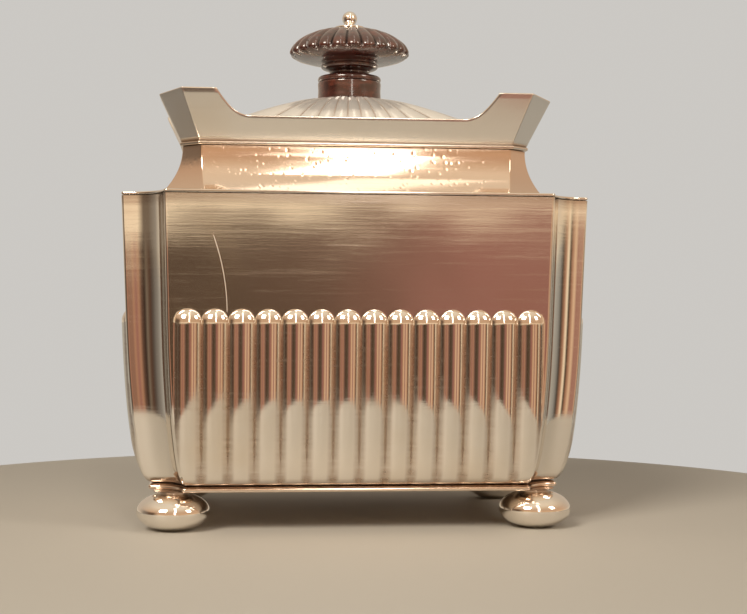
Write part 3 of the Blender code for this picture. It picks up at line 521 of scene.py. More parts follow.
def wall_face(thickness, steps):
    """The wall's outer face, or with a thickness its inner face, as a grid, and its painted shade."""
    sides, heights, shades = [], [], []
    fillet = max(ARRIS_RADIUS - thickness, 0.08 * MM)
    for half_run, half_out, pitch, count in (LONG_SIDE, SHORT_SIDE) * 2:
        nominal = flute_columns(half_run, pitch, count)
        crest = pitch * (count - 1) / 2
        arc_z = FLUTE_TOP_Z - pitch / 2
        nearest = nearest_flute(nominal, pitch, count)
        rim = arc_z + np.sqrt(np.maximum((pitch / 2) ** 2 - (nominal - nearest) ** 2, 0))
        z_flat = wall_heights(rim, steps)
        z_corner = wall_heights(np.full(2 * ARRIS_STEPS + NOTCH_STEPS - 1, arc_z), steps)
        flat_inset, inset = wall_inset(z_flat), wall_inset(z_corner[:, :1])
        room = half_run - flat_inset - incurve_reach(
            NOTCH_RADIUS + thickness - NOTCH_SHRINK * flat_inset, fillet, thickness)
        squeeze = (room - crest) / (np.abs(nominal).max() - crest)
        beyond = np.maximum(np.abs(nominal) - crest, 0) * squeeze
        along = np.sign(nominal) * (np.minimum(np.abs(nominal), crest) + beyond)
        bulge = flute_bulge(along, z_flat, pitch, count)
        side = incurved_side(half_run - inset, inset - half_out,
                             NOTCH_RADIUS + thickness - NOTCH_SHRINK * inset, fillet, thickness,
                             along, bulge - (flat_inset - inset))
        fluted = (np.abs(along) < pitch * count / 2) & (z_flat < rim)
        aside = np.abs(along - nearest) / (pitch / 2)
        # Painted shade down each flute's sides, deepest in the grooves and fading towards the tops,
        # with a wedge of it at the flutes' feet.
        shade = np.clip((aside - 0.50) / 0.25, 0, 1)
        groove = 0.45 * shade ** 2 * (3 - 2 * shade) + 0.55 * np.exp(-bulge / GROOVE_SHADE_REACH)
        groove = groove * np.clip((FLUTE_TOP_Z - z_flat) / GROOVE_FADE, 0.25, 1)
        wedge = shade * np.clip(1.2 - (z_flat - WALL_FOOT_Z) / WEDGE_HEIGHT, 0, 1)
        groove = np.where(fluted, np.maximum(groove, wedge), 0)
        sides.append(side)
        heights.append(np.concatenate([z_flat, z_corner], axis=1))
        shades.append(np.concatenate([groove, np.zeros_like(z_corner)], axis=1))
    z, shade_and_tarnish = np.concatenate(heights, axis=1), np.concatenate(shades, axis=1)
    # Painted shade along the foot, where the wall tucks in above the base, and in a line under the
    # shoulder's edge.
    foot = np.clip(1 - (z - WALL_FOOT_Z) / FOOT_SHADE_HEIGHT, 0, 1)
    seam = 0.6 * np.clip(1 - (WALL_TOP_Z - z) / SEAM_SHADE_HEIGHT, 0, 1)
    grid = np.concatenate([turned_sides(sides), z[..., None]], axis=-1)
    return grid, np.maximum.reduce([shade_and_tarnish, foot, seam])


def make_wall():
    """The whole wall: its outer face up from the foot, and its inner face down again."""
    outer, outer_shade = wall_face(0.0, (34, 14, 9, 9))
    inner, inner_shade = wall_face(WALL_SHEET, (14, 6, 4, 4))
    corners = [f"corner_{end}_{side}" for end in ("front", "rear") for side in ("left", "right")]
    piece("body_wall", np.concatenate([outer, inner[::-1]]),
          silver_finish("silver_wall", scratched=True), "bowl", "silver",
          "front_panel", "rear_panel", "left_panel", "right_panel", *corners,
          # The inner face is darkened evenly, and carries a weaker copy of the grooves' painted shade.
          shade_and_tarnish=np.concatenate([outer_shade, 0.35 + 0.3 * inner_shade[::-1]]))


make_wall()


# --- Base -----------------------------------------------------------
# A flat strip with a hollow moulding on top, soldered under the wall, and the plain floor plate
# that rests on it.
BASE_HALF_X = 47.8 * MM
BASE_HALF_Y = 31.8 * MM
BASE_NOTCH = 7.9 * MM
BASE_Z = 9.06 * MM
BASE_TOP_Z = 10.36 * MM
BASE_STRIP_WIDTH = 9.0 * MM
FLOOR_HALF_X = 45.7 * MM
FLOOR_HALF_Y = 29.7 * MM
FLOOR_NOTCH = 7.9 * MM
FLOOR_Z = 10.66 * MM
FLOOR_THICKNESS = 0.9 * MM
SMALLEST_ROUNDING = 0.05 * MM
FLAT_PARTS = np.array([-1, -0.985, -0.9, -0.6, -0.2, 0.2, 0.6, 0.9, 0.985, 1])


def four_sides(half_x, half_y, side):
    """Join the sides made by a function of half a side's run and how far out it stands."""
    return turned_sides([side(*size) for size in ((half_x, half_y), (half_y, half_x)) * 2])


def incurved_rows(half_x, half_y, notch, fillet, inset):
    """Outlines with incurved corners, each moved in evenly by its own inset."""
    inset = np.asarray(inset, float)[:, None]
    hollow, rounded = notch + inset, np.maximum(fillet - inset, SMALLEST_ROUNDING)

    def side(half_run, half_out):
        along = (half_run - incurve_reach(hollow, rounded, inset)) * FLAT_PARTS
        return incurved_side(half_run, -half_out, hollow, rounded, inset, along, np.zeros_like(along))

    return four_sides(half_x, half_y, side)


def canted_hole(half_x, half_y, cant):
    """One outline with straight canted corners, with as many points as an incurved outline."""
    part = np.linspace(0, 1, 2 * ARRIS_STEPS + NOTCH_STEPS + 1)[1:-1]

    def side(half_run, half_out):
        x = np.concatenate([(half_run - cant) * FLAT_PARTS, half_run - cant + cant * part])
        y = np.concatenate([np.full(len(FLAT_PARTS), -half_out), cant * part - half_out])
        return pairs(x, y)[None]

    return four_sides(half_x, half_y, side)


def lifted(outlines, z):
    """Put each row of an outline at its own height, or each point at its own."""
    z = np.asarray(z, float)
    z = z[:, None] if z.ndim == 1 else z
    return np.concatenate([outlines, np.broadcast_to(z, outlines.shape[:2])[..., None]], axis=-1)


def make_base():
    """The strip with its rounded lip and hollow moulding, and the floor plate."""
    lip = quarter_round(0.35 * MM)
    turn = np.linspace(0, math.pi / 2, 5)[1:]
    hollow = 0.55 * MM
    inset = np.concatenate([lip[:, 0], lip[::-1, 0], 0.45 * MM + hollow * (1 - np.cos(turn))])
    rise = np.concatenate([lip[:, 1], 0.95 * MM - lip[::-1, 1], 0.95 * MM + 0.35 * MM * np.sin(turn)])
    outer = lifted(incurved_rows(BASE_HALF_X, BASE_HALF_Y, BASE_NOTCH, ARRIS_RADIUS, inset),
                   BASE_Z + rise)
    hole = canted_hole(BASE_HALF_X - BASE_STRIP_WIDTH, BASE_HALF_Y - BASE_STRIP_WIDTH, BASE_NOTCH)
    inner = np.concatenate([lifted(hole, [BASE_TOP_Z]), lifted(hole, [BASE_Z])])
    # Painted shade: deepest in the hollow moulding under the wall's foot and at the inner edge, light
    # along the lower lip.
    shade_and_tarnish = np.concatenate([np.full(len(lip), 0.15), np.zeros(len(lip)), np.linspace(0.5, 1, 4),
                            [1, 0.5]])[:, None]
    # The strip's tan tint is a painted warm reflection.
    finish = silver_finish("silver_base", gloss=0.10, warm_reflection=0.4)
    piece("base_strip", np.concatenate([outer, inner]), finish, "bowl", "silver", "base_moulding",
          shade_and_tarnish=shade_and_tarnish)

    share = np.array([0, 0.5, 1, 1, 1, 1, 0.5, 0])[:, None, None]
    rise = FLOOR_THICKNESS * np.array([0, 0, 0, 0.15, 0.85, 1, 1, 1])
    inset = 0.1 * MM * np.array([0, 0, 1, 0, 0, 1, 0, 0])
    plate = incurved_rows(FLOOR_HALF_X, FLOOR_HALF_Y, FLOOR_NOTCH, ARRIS_RADIUS, inset) * share
    piece("floor_plate", lifted(plate, FLOOR_Z + rise), finish, "bowl", "silver", "base_plate",
          wrap_rows=False, shade_and_tarnish=0.35)


make_base()


# --- Feet -----------------------------------------------------------
# Four bun feet, each raised from two cups of sheet and drawn in above to a short spreading neck
# that is soldered under the corner of the strip.
FOOT_X = 42.0 * MM
FOOT_Y = 26.0 * MM
FOOT_RADIUS = 8.4 * MM
FOOT_MIDDLE_Z = 4.25 * MM
FOOT_HALF_HEIGHT = 4.5 * MM
FOOT_NECK_RADIUS = 3.4 * MM
FOOT_STEPS = 64


def make_feet():
    """An ellipse turned about its upright axis, cut flat below and coved out above."""
    low = math.asin(-FOOT_MIDDLE_Z / FOOT_HALF_HEIGHT)
    high = math.acos(FOOT_NECK_RADIUS / FOOT_RADIUS)
    turn = np.linspace(low, high, 30)
    bun = pairs(FOOT_RADIUS * np.cos(turn), FOOT_MIDDLE_Z + FOOT_HALF_HEIGHT * np.sin(turn))
    cove = np.linspace(0.2, 1, 5)
    room = BASE_Z - bun[-1, 1]
    neck = pairs(FOOT_NECK_RADIUS - 0.1 * MM + 1.1 * MM * cove ** 3, bun[-1, 1] + room * cove)
    profile = np.concatenate([[(0, 0), (bun[0, 0] - 0.3 * MM, 0)], bun, neck, [(0, BASE_Z)]])
    # Painted shade on the neck of each foot, under the strip's corner.
    shade_and_tarnish = np.clip((profile[:, 1] - bun[-1, 1] + 0.5 * MM) / MM, 0, 0.8)[:, None]
    finish = silver_finish("silver_feet", gloss=0.06, rub=(90.0, 90.0, 500.0), dent_depth=0.02)
    for end, sign_y in (("front", -1), ("rear", 1)):
        for side, sign_x in (("left", -1), ("right", 1)):
            name = f"foot_{end}_{side}"
            grid = turned(profile, FOOT_STEPS, (sign_x * FOOT_X, sign_y * FOOT_Y))
            piece("bun_" + name, grid, finish, "bowl", "silver", name, wrap_rows=False, shade_and_tarnish=shade_and_tarnish)


make_feet()


# --- Shoulder -------------------------------------------------------
# A flat plate of thicker sheet with a rounded edge, soldered on top of the wall; a fine line of
# painted shade runs along the seam below its edge.
SHOULDER_THICKNESS = 0.7 * MM
SHOULDER_LIP = 0.30 * MM
SHOULDER_MOUTH = (43.0 * MM, 27.0 * MM, 9.0 * MM)


def make_shoulder():
    """The plate: a round lip below and above, then the flat top in to the canted mouth."""
    lip = quarter_round(SHOULDER_LIP, 5)
    foot_z = SHOULDER_Z - SHOULDER_THICKNESS
    inset = np.concatenate([[1.5 * MM], lip[:, 0], lip[::-1, 0], [0.8 * MM, 3.0 * MM]])
    z = np.concatenate([[foot_z], foot_z + lip[:, 1], SHOULDER_Z - lip[::-1, 1], [SHOULDER_Z] * 2])
    outer = lifted(incurved_rows(BODY_HALF_X, BODY_HALF_Y, NOTCH_RADIUS, ARRIS_RADIUS, inset), z)
    mouth = canted_hole(*SHOULDER_MOUTH)
    grid = np.concatenate([outer, lifted(mouth, [SHOULDER_Z]), lifted(mouth, [foot_z])])
    # Painted shade under the lip, along the seam with the wall, and at the mouth under the neck.
    shade_and_tarnish = np.zeros(len(grid))
    shade_and_tarnish[:3] = (1, 0.9, 0.3)
    shade_and_tarnish[-2:] = 0.6
    piece("shoulder", grid, silver_finish("silver_shoulder", rub=(60.0, 60.0, 60.0)),
          "bowl", "silver", "shoulder_plate", shade_and_tarnish=shade_and_tarnish[:, None])


make_shoulder()


# --- Neck -----------------------------------------------------------
# One band of sheet with canted corners, spread at its foot in a cove and soldered to the
# shoulder.  Years of polishing have rubbed it, and its cove is peppered with fine pits.
NECK_HALF_X = 40.5 * MM
NECK_HALF_Y = 24.5 * MM
NECK_CANT = 4.4 * MM
NECK_TOP_Z = 88.35 * MM
NECK_FOOT_Z = 77.1 * MM
NECK_CURVE_TOP_Z = 88.2 * MM
NECK_FLARE = 5.0 * MM
NECK_FLARE_HEIGHT = 10.8 * MM
NECK_FLARE_POWER = 2.15
NECK_CANT_SPREAD = 1.2
NECK_FOLD = 0.55 * MM
NECK_ROWS = 28
FOLD_STEPS = 5
STRAIGHT_PARTS = np.array([-1, -0.992, -0.95, -0.6, -0.2, 0.2, 0.6, 0.95, 0.992, 1])
FACET_PARTS = np.array([0.05, 0.35, 0.65, 0.95])


def canted_side(half_run, half_out, cant, fold, parts=STRAIGHT_PARTS):
    """A straight side facing -Y and the canted corner after it, with rounded folds.

    Each size may be a number, or a grid with a value for every row and column.  The columns
    are the parts of the straight, the first fold, the canted face and the second fold.
    """
    count = len(parts) + 2 * FOLD_STEPS + len(FACET_PARTS)
    rows = max(np.shape(size)[0] if np.ndim(size) else 1 for size in (half_run, half_out, cant, fold))
    run, out, cut, radius = (np.broadcast_to(size, (rows, count))
                             for size in (half_run, half_out, cant, fold))
    tangent = radius * math.tan(math.pi / 8)
    first = np.linspace(0, math.pi / 4, FOLD_STEPS + 1)[1:]
    second = np.linspace(math.pi / 4, math.pi / 2, FOLD_STEPS + 1)[:-1]
    turn = np.concatenate([np.zeros(len(parts)), first, np.full(len(FACET_PARTS), math.pi / 4), second])
    far = np.concatenate([np.zeros(len(parts) + FOLD_STEPS), FACET_PARTS, np.ones(FOLD_STEPS)])
    along = np.concatenate([parts, np.ones(count - len(parts))])
    x = (run - cut - tangent) * along * (1 - far) + (run - radius) * far + radius * np.sin(turn)
    y = (radius - out) * (1 - far) + (cut + tangent - out) * far - radius * np.cos(turn)
    return pairs(x, y)


def canted_rows(half_x, half_y, cant, fold, inset=0.0, centre_y=0.0):
    """Closed outlines with canted corners; each size may differ for each row, and so may inset."""
    half_x, half_y, cant, fold, inset, centre_y = (
        np.broadcast_to(np.asarray(size, float), np.shape(inset) or (1,))[:, None]
        for size in (half_x, half_y, cant, fold, inset, centre_y))
    cant, fold = cant - inset * (2 - math.sqrt(2)), np.maximum(fold - inset, SMALLEST_ROUNDING)
    rows = four_sides(half_x - inset, half_y - inset,
                      lambda half_run, half_out: canted_side(half_run, half_out, cant, fold))
    return rows + pairs(np.zeros_like(centre_y), centre_y)


def make_neck():
    """The band: its outline spreads as a power of the way down, outside and then inside."""
    z = NECK_FOOT_Z + (NECK_TOP_Z - NECK_FOOT_Z) * np.linspace(0, 1, NECK_ROWS)
    z = np.concatenate([z, z[::-1]])
    inset = np.repeat([0.0, WALL_SHEET], NECK_ROWS)
    down = np.clip((NECK_CURVE_TOP_Z - z) / NECK_FLARE_HEIGHT, 0, 1.05)
    flare = NECK_FLARE * down ** NECK_FLARE_POWER
    rows = canted_rows(NECK_HALF_X + flare, NECK_HALF_Y + flare,
                       NECK_CANT + NECK_CANT_SPREAD * flare, NECK_FOLD, inset)
    # Painted shade at both ends: along the shoulder, and under the seat and gallery.
    shade_and_tarnish = (np.clip(1 - (z - NECK_FOOT_Z) / SEAM_SHADE_HEIGHT, 0, 1)
             + np.clip(1 - (NECK_TOP_Z - z) / SEAM_SHADE_HEIGHT, 0, 1))
    # The tan tint is a painted warm reflection of the room.
    finish = silver_finish("silver_neck", gloss=0.08, rub_depth=0.014, pit_depth=0.025, warm_reflection=0.5)
    piece("neck_band", lifted(rows, z), finish, "bowl", "silver", "neck", shade_and_tarnish=shade_and_tarnish[:, None])


make_neck()


# --- Lid seat -------------------------------------------------------
# A narrow frame soldered on top of the neck.  The lid rests on it, and its edge shows as a thin
# line under the gallery.
SEAT_HALF_X = 41.1 * MM
SEAT_HALF_Y = 25.1 * MM
SEAT_Z = 88.5 * MM
SEAT_THICKNESS = 0.8 * MM


def make_seat():
    """A flat frame with rounded outer edges."""
    inset = np.array([0.25, 0.07, 0, 0, 0.07, 0.25, 3.9, 4.1, 4.1, 3.9]) * MM
    rise = SEAT_THICKNESS * np.array([0, 0.1, 0.3, 0.7, 0.9, 1, 1, 0.8, 0.2, 0])
    rows = canted_rows(SEAT_HALF_X, SEAT_HALF_Y, NECK_CANT, 0.5 * MM, inset)
    piece("seat_frame", lifted(rows, SEAT_Z + rise), silver_finish("silver_seat", gloss=0.12),
          "bowl", "silver", "lid_seat", shade_and_tarnish=0.3)


make_seat()


# --- Gallery --------------------------------------------------------
# A collar of thick sheet that flares out round the lid, soldered to the seat.  Its edge is cut
# away in long sweeps between four raised horns, and filed round.
GALLERY_HALF_X = 40.9 * MM
GALLERY_HALF_Y = 24.9 * MM
GALLERY_CANT = 4.4 * MM
GALLERY_Z = 89.35 * MM
GALLERY_BASE_Z = 89.6 * MM
GALLERY_FLARE = 0.478
GALLERY_CANT_SPREAD = 0.128
GALLERY_WALL = 1.05 * MM
GALLERY_FOLD = 0.6 * MM
GALLERY_LIP = 0.42 * MM
HORN_TOP_Z = 100.9 * MM
HORN_DROP = 0.85 * MM               # how much lower the horns stand on the short sides
RIM_LOW_Z = 95.05 * MM
HORN_FLAT = 7.6 * MM
HORN_SWEEP = 8.0 * MM
HORN_SWEEP_POWER = 3.4
GALLERY_ROWS = (12, 9, 6)           # up the outer face, over the edge, and down the inner face


def rim_height(from_fold, top_z):
    """Height of the edge by distance from a fold: level, then a power that ends level."""
    along = np.clip((HORN_FLAT + HORN_SWEEP - from_fold) / HORN_SWEEP, 0, 1)
    return RIM_LOW_Z + (top_z - RIM_LOW_Z) * along ** HORN_SWEEP_POWER


def gallery_parts(top_run):
    """Columns along one side, crowded over the horns' sweeps, as parts from -1 to 1."""
    distance = np.concatenate([[0, 0.02, 0.12, 0.5, 0.9, 1.0], 1 + HORN_SWEEP / HORN_FLAT *
                               np.linspace(0, 1, 23)[1:] ** 1.3]) * HORN_FLAT
    last = 1 - distance / top_run
    return np.concatenate([-last, last[-1] * np.array([-0.5, 0, 0.5]), last[::-1]])


def make_gallery():
    """The collar: every column rises from the seat to its own height of edge, over a round lip,
    and down the inner face; at each height the outline spreads evenly."""
    up, over, down = GALLERY_ROWS
    lip = np.linspace(0, math.pi, over)
    share = np.concatenate([np.linspace(0, 1, up), np.ones(over - 2), np.linspace(1, 0, down)])
    inset = np.concatenate([np.zeros(up - 1), GALLERY_WALL / 2 * (1 - np.cos(lip)),
                            np.full(down - 1, GALLERY_WALL)])[:, None]
    lift = np.concatenate([np.zeros(up - 1), GALLERY_LIP * np.sin(lip), np.zeros(down - 1)])
    sides, heights = [], []
    for quarter in range(4):
        half_run, half_out = GALLERY_HALF_X, GALLERY_HALF_Y
        top_z, next_z = HORN_TOP_Z, HORN_TOP_Z - HORN_DROP
        if quarter % 2:
            half_run, half_out, top_z, next_z = half_out, half_run, next_z, top_z
        spread = (HORN_TOP_Z - GALLERY_BASE_Z) * (GALLERY_FLARE - GALLERY_CANT_SPREAD)
        top_run = half_run - GALLERY_CANT + spread
        parts = gallery_parts(top_run)
        across = np.concatenate([np.zeros(FOLD_STEPS), FACET_PARTS, np.ones(FOLD_STEPS)])
        rim = np.concatenate([rim_height(top_run * (1 - np.abs(parts)), top_z),
                              top_z + (next_z - top_z) * across])
        z = GALLERY_Z + share[:, None] * (rim - GALLERY_LIP - GALLERY_Z) + lift[:, None]
        rise = z - GALLERY_BASE_Z
        cant = GALLERY_CANT - inset * (2 - math.sqrt(2)) + GALLERY_CANT_SPREAD * rise
        sides.append(canted_side(half_run - inset + GALLERY_FLARE * rise,
                                 half_out - inset + GALLERY_FLARE * rise, cant,
                                 np.maximum(GALLERY_FOLD - inset, 0.1 * MM), parts))
        heights.append(z)
    grid = lifted(turned_sides(sides), np.concatenate(heights, axis=1))
    # Painted shade along the collar's foot, where it meets the seat.
    shade_and_tarnish = np.clip(1 - (grid[..., 2] - GALLERY_Z) / (0.7 * MM), 0, 1)
    finish = silver_finish("silver_gallery", gloss=0.16, dull=0.1, rub=(25.0, 25.0, 700.0),
                           haze=0.08, dent_depth=0.02)
    piece("gallery_collar", grid, finish, "bowl", "silver", "gallery", shade_and_tarnish=shade_and_tarnish)


make_gallery()


# --- Hinge ----------------------------------------------------------
# Five drawn tubes on one wire pin, inside the back of the gallery: three are soldered to the
# seat, and two to the rim of the lid.
HINGE_Y = 22.9 * MM
HINGE_Z = 91.5 * MM
KNUCKLE_RADIUS = 1.4 * MM
KNUCKLE_BORE = 0.9 * MM
KNUCKLE_LENGTH = 8.0 * MM
KNUCKLE_PITCH = 8.3 * MM
KNUCKLE_BEVEL = 0.15 * MM
PIN_RADIUS = 0.6 * MM
PIN_END = 0.3 * MM
SEAT_BLOCK = np.array((-0.9, 0.6, -2.1, 0.1)) * MM      # low y, high y, low z, high z from the axis
LID_BLOCK = np.array((-2.3, 0.1, -0.95, 0.2)) * MM


def hinge_grid(x, radius, angle):
    """Points about the hinge's axis by their place along it, distance from it and angle."""
    y, z = radius * np.cos(angle), radius * np.sin(angle)
    return np.stack([np.broadcast_to(x[:, None], y.shape), HINGE_Y + y, HINGE_Z + z], axis=-1)


def make_knuckle(name, middle_x, block, body, finish):
    """A tube about the hinge's axis that merges into a block: the outside at each angle is the
    farther of the tube and the block, with its ends rounded over."""
    low_y, high_y, low_z, high_z = block
    corners = [math.atan2(z, y) for y in (low_y, high_y) for z in (low_z, high_z)]
    near = np.array(corners)[:, None] + np.array([-0.02, 0, 0.02])
    angle = np.sort(np.concatenate([np.linspace(-math.pi, math.pi, 60, endpoint=False),
                                    near.ravel()]))
    y, z = np.cos(angle), np.sin(angle)
    to_y = np.where(y > 0, high_y, low_y) / np.where(np.abs(y) < 1e-9, 1e-9, y)
    to_z = np.where(z > 0, high_z, low_z) / np.where(np.abs(z) < 1e-9, 1e-9, z)
    outside = np.maximum(KNUCKLE_RADIUS, np.minimum(to_y, to_z))
    bevel, half = KNUCKLE_BEVEL, KNUCKLE_LENGTH / 2
    x = np.array([-half, -half + bevel / 3, -half + bevel, half - bevel, half - bevel / 3, half,
                  half, half - bevel, -half + bevel, -half])
    inset = bevel * np.array([1, 0.33, 0, 0, 0.33, 1])
    radius = np.concatenate([outside - inset[:, None],
                             np.broadcast_to(KNUCKLE_BORE + bevel * np.array([[1], [0], [0], [1]]),
                                             (4, len(angle)))])
    # Painted shade at the ends and in the bore.
    shade_and_tarnish = np.array([0.8, 0.3, 0, 0, 0.3, 0.8, 1, 1, 1, 1])[:, None]
    piece("tube_" + name, hinge_grid(middle_x + x, radius, angle), finish, body, "silver", name,
          shade_and_tarnish=shade_and_tarnish)


def make_hinge():
    """The five knuckles, and the pin with its ends rounded."""
    finish = silver_finish("silver_hinge", gloss=0.14, rub=(1500.0, 80.0, 80.0))
    for side, place in (("left", -2), ("middle", 0), ("right", 2)):
        make_knuckle(f"hinge_knuckle_seat_{side}", place * KNUCKLE_PITCH, SEAT_BLOCK, "bowl", finish)
    for side, place in (("left", -1), ("right", 1)):
        make_knuckle(f"hinge_knuckle_lid_{side}", place * KNUCKLE_PITCH, LID_BLOCK, "lid", finish)
    half = 2.5 * KNUCKLE_PITCH
    turn = np.linspace(0, math.pi / 2, 6)
    ends = PIN_RADIUS * np.cos(turn)
    x = np.concatenate([-half + PIN_END * (1 - np.sin(turn)),
                        half - PIN_END * (1 - np.sin(turn[::-1]))])
    radius = np.concatenate([ends, ends[::-1]])[:, None]
    radius[[0, 5, 6, 11]] = [[PIN_RADIUS], [0], [0], [PIN_RADIUS]]
    x, radius = np.concatenate([x[5::-1], x[:5:-1]]), np.concatenate([radius[5::-1], radius[:5:-1]])
    piece("hinge_wire", hinge_grid(x, radius, full_turn(24)), finish, "bowl", "silver", "hinge_pin",
          wrap_rows=False)


make_hinge()


# --- Lid rim and flange ---------------------------------------------
# A flat frame under the dome that rests on the seat, and an upright ring soldered below it that
# keeps the lid inside the neck.
LID_RIM_Z = 89.6 * MM
LID_RIM_TOP_Z = 90.4 * MM
LID_RIM_HALF_X = 39.0 * MM
LID_RIM_HALF_Y = 22.1 * MM
LID_RIM_MIDDLE_Y = -0.9 * MM
LID_MOUTH_X = 33.5 * MM
LID_MOUTH_Y = 17.5 * MM
LID_CANT = 4.0 * MM
FLANGE_HALF_X = 35.9 * MM
FLANGE_HALF_Y = 19.6 * MM
FLANGE_MIDDLE_Y = -0.3 * MM
FLANGE_CANT = 3.4 * MM
FLANGE_FOOT_Z = 86.2 * MM


def make_lid_frame():
    """The rim's section goes round its edge, over its top, and back under; the flange's round
    its thin wall."""
    finish = silver_finish("silver_lid_frame", gloss=0.10)
    inset = np.array([0.2, 0.05, 0, 0, 0.05, 0.2, 0, 0]) * MM
    z = LID_RIM_Z + (LID_RIM_TOP_Z - LID_RIM_Z) * np.array([0, 0.1, 0.3, 0.7, 0.9, 1, 1, 0])
    mouth = np.arange(8) >= 6
    rows = canted_rows(np.where(mouth, LID_MOUTH_X, LID_RIM_HALF_X),
                       np.where(mouth, LID_MOUTH_Y, LID_RIM_HALF_Y),
                       LID_CANT, 0.5 * MM, inset, np.where(mouth, 0, LID_RIM_MIDDLE_Y))
    piece("lid_frame", lifted(rows, z), finish, "lid", "silver", "lid_rim", shade_and_tarnish=0.2)
    inset = np.array([0.3, 0.07, 0, 0, 0.9, 0.9, 0.83, 0.6]) * MM
    z = FLANGE_FOOT_Z + np.array([0, 0.08, 0.3, 3.38, 3.38, 0.3, 0.08, 0]) * MM
    rows = canted_rows(FLANGE_HALF_X, FLANGE_HALF_Y, FLANGE_CANT, 1.0 * MM, inset, FLANGE_MIDDLE_Y)
    piece("lid_skirt", lifted(rows, z), finish, "lid", "silver", "lid_flange", shade_and_tarnish=0.2)


make_lid_frame()


# --- Dome -----------------------------------------------------------
# The lid's top, raised from one sheet: rounded rays spread from the knob's seat to a canted
# rectangle, with painted shade darkening the grooves between them.
DOME_HALF_X = 36.2 * MM
DOME_HALF_Y = 20.2 * MM
DOME_CANT = 3.6 * MM
DOME_FOOT_Z = 90.45 * MM
DOME_EDGE_Z = 91.5 * MM
DOME_TOP_Z = 102.4 * MM
DOME_TOP_RADIUS = 7.85 * MM
DOME_POWER = 1.32
DOME_POWER_ACROSS = 1.85
DOME_THICKNESS = 1.0 * MM
DOME_RAYS = 32
DOME_RELIEF = 0.7 * MM
DOME_COLUMNS = 14                   # for each ray
DOME_RINGS = 30
DOME_GROOVE_SHADE = 0.16
DOME_LIP = 0.1 * MM
DOME_ROUNDING = 0.25 * MM
ROD_HOLE = 1.6 * MM


def lobes(angle, count, fullness=0.85):
    """1 along the crest of each lobe and 0 in the grooves: a slice of a circle across."""
    part = (angle * count / (2 * math.pi) + 0.5) % 1.0 - 0.5
    foot = math.sqrt(1 - fullness)
    return (np.sqrt(1 - fullness * (2 * part) ** 2) - foot) / (1 - foot)


def make_dome():
    """Rings from the rod's hole out to the edge and back inside; their height falls as a power
    of the way out that is higher towards the long sides, and the rays fade at both ends."""
    angle = full_turn(DOME_RAYS * DOME_COLUMNS)
    cosine, sine = np.cos(angle), np.sin(angle)

    def edge(inset):
        """Distance to the canted rectangle's edge at each angle."""
        half_x, half_y = DOME_HALF_X - inset, DOME_HALF_Y - inset
        flat = np.minimum(half_x / np.maximum(np.abs(cosine), 1e-6),
                          half_y / np.maximum(np.abs(sine), 1e-6))
        return np.minimum(flat, (half_x + half_y - DOME_CANT) / (np.abs(cosine) + np.abs(sine)))

    crest = lobes(angle, DOME_RAYS)
    part = np.linspace(0, 1, DOME_RINGS)[:, None]
    power = DOME_POWER + (DOME_POWER_ACROSS - DOME_POWER) * sine ** 2
    slope = DOME_TOP_Z - (DOME_TOP_Z - DOME_EDGE_Z) * part ** power
    fade = np.clip(np.minimum((1 - part) / 0.10, part / 0.06), 0, 1)
    fade = fade * (2 - fade)
    relief = DOME_RELIEF * (0.35 + 0.65 * part) * fade
    radius = DOME_TOP_RADIUS + (edge(0.0) - DOME_TOP_RADIUS) * part
    height = slope + relief * crest
    back = part[::-1][::3]
    under_radius = DOME_TOP_RADIUS + (edge(DOME_THICKNESS) - DOME_TOP_RADIUS) * back
    under = DOME_TOP_Z - DOME_THICKNESS - (DOME_TOP_Z - DOME_EDGE_Z) * back ** power
    level = np.ones_like(angle)
    radii = np.concatenate([[ROD_HOLE * level], radius, [edge(-DOME_LIP)], [edge(-DOME_LIP)],
                            [edge(DOME_LIP)], [edge(DOME_THICKNESS)], under_radius,
                            [ROD_HOLE * level]])
    sides = [DOME_EDGE_Z - DOME_ROUNDING, DOME_FOOT_Z + DOME_ROUNDING, DOME_FOOT_Z, DOME_FOOT_Z]
    heights = np.concatenate([[DOME_TOP_Z * level], height, np.outer(sides, level), under * level,
                              [(DOME_TOP_Z - DOME_THICKNESS) * level]])
    # Painted shade in the grooves between the rays, and evenly underneath.
    shade_and_tarnish = np.zeros(heights.shape)
    shade_and_tarnish[1:DOME_RINGS + 1] = np.exp(-crest / DOME_GROOVE_SHADE) * np.clip(fade * 2, 0, 1)
    shade_and_tarnish[-len(back) - 2:] = 0.3
    finish = silver_finish("silver_dome", gloss=0.20, dull=0.5, rub=(200.0, 200.0, 200.0),
                           rub_depth=0.008, dent_depth=0.02)
    piece("lid_dome_rays", round_grid(radii, angle, heights), finish, "lid", "silver", "lid_dome",
          shade_and_tarnish=shade_and_tarnish)


make_dome()


# --- Knob -----------------------------------------------------------
# Two pieces of dark red hardwood, turned and French polished: a drum on the lid, and a mushroom
# cap whose top is carved into rounded lobes that run over its rim.
COLLAR_FOOT_Z = 102.5 * MM
COLLAR_TOP_Z = 108.75 * MM
CAP_LOBES = 24
CAP_COLUMNS = 12                    # for each lobe
CAP_RELIEF = 1.05 * MM
KNOB_STEPS = 96


def smooth_path(points, per_span):
    """A Catmull-Rom curve through points: between two of them it blends cubics of four."""
    points = np.asarray(points, float)
    ends = np.concatenate([[2 * points[0] - points[1]], points, [2 * points[-1] - points[-2]]])
    before, start, stop, after = ends[:-3], ends[1:-2], ends[2:-1], ends[3:]
    t = np.linspace(0, 1, per_span, endpoint=False)[None, :, None]
    before, start, stop, after = (side[:, None] for side in (before, start, stop, after))
    curve = 0.5 * (2 * start + (stop - before) * t
                   + (2 * before - 5 * start + 4 * stop - after) * t ** 2
                   + (3 * start - before - 3 * stop + after) * t ** 3)
    return np.concatenate([curve.reshape(-1, points.shape[1]), points[-1:]])


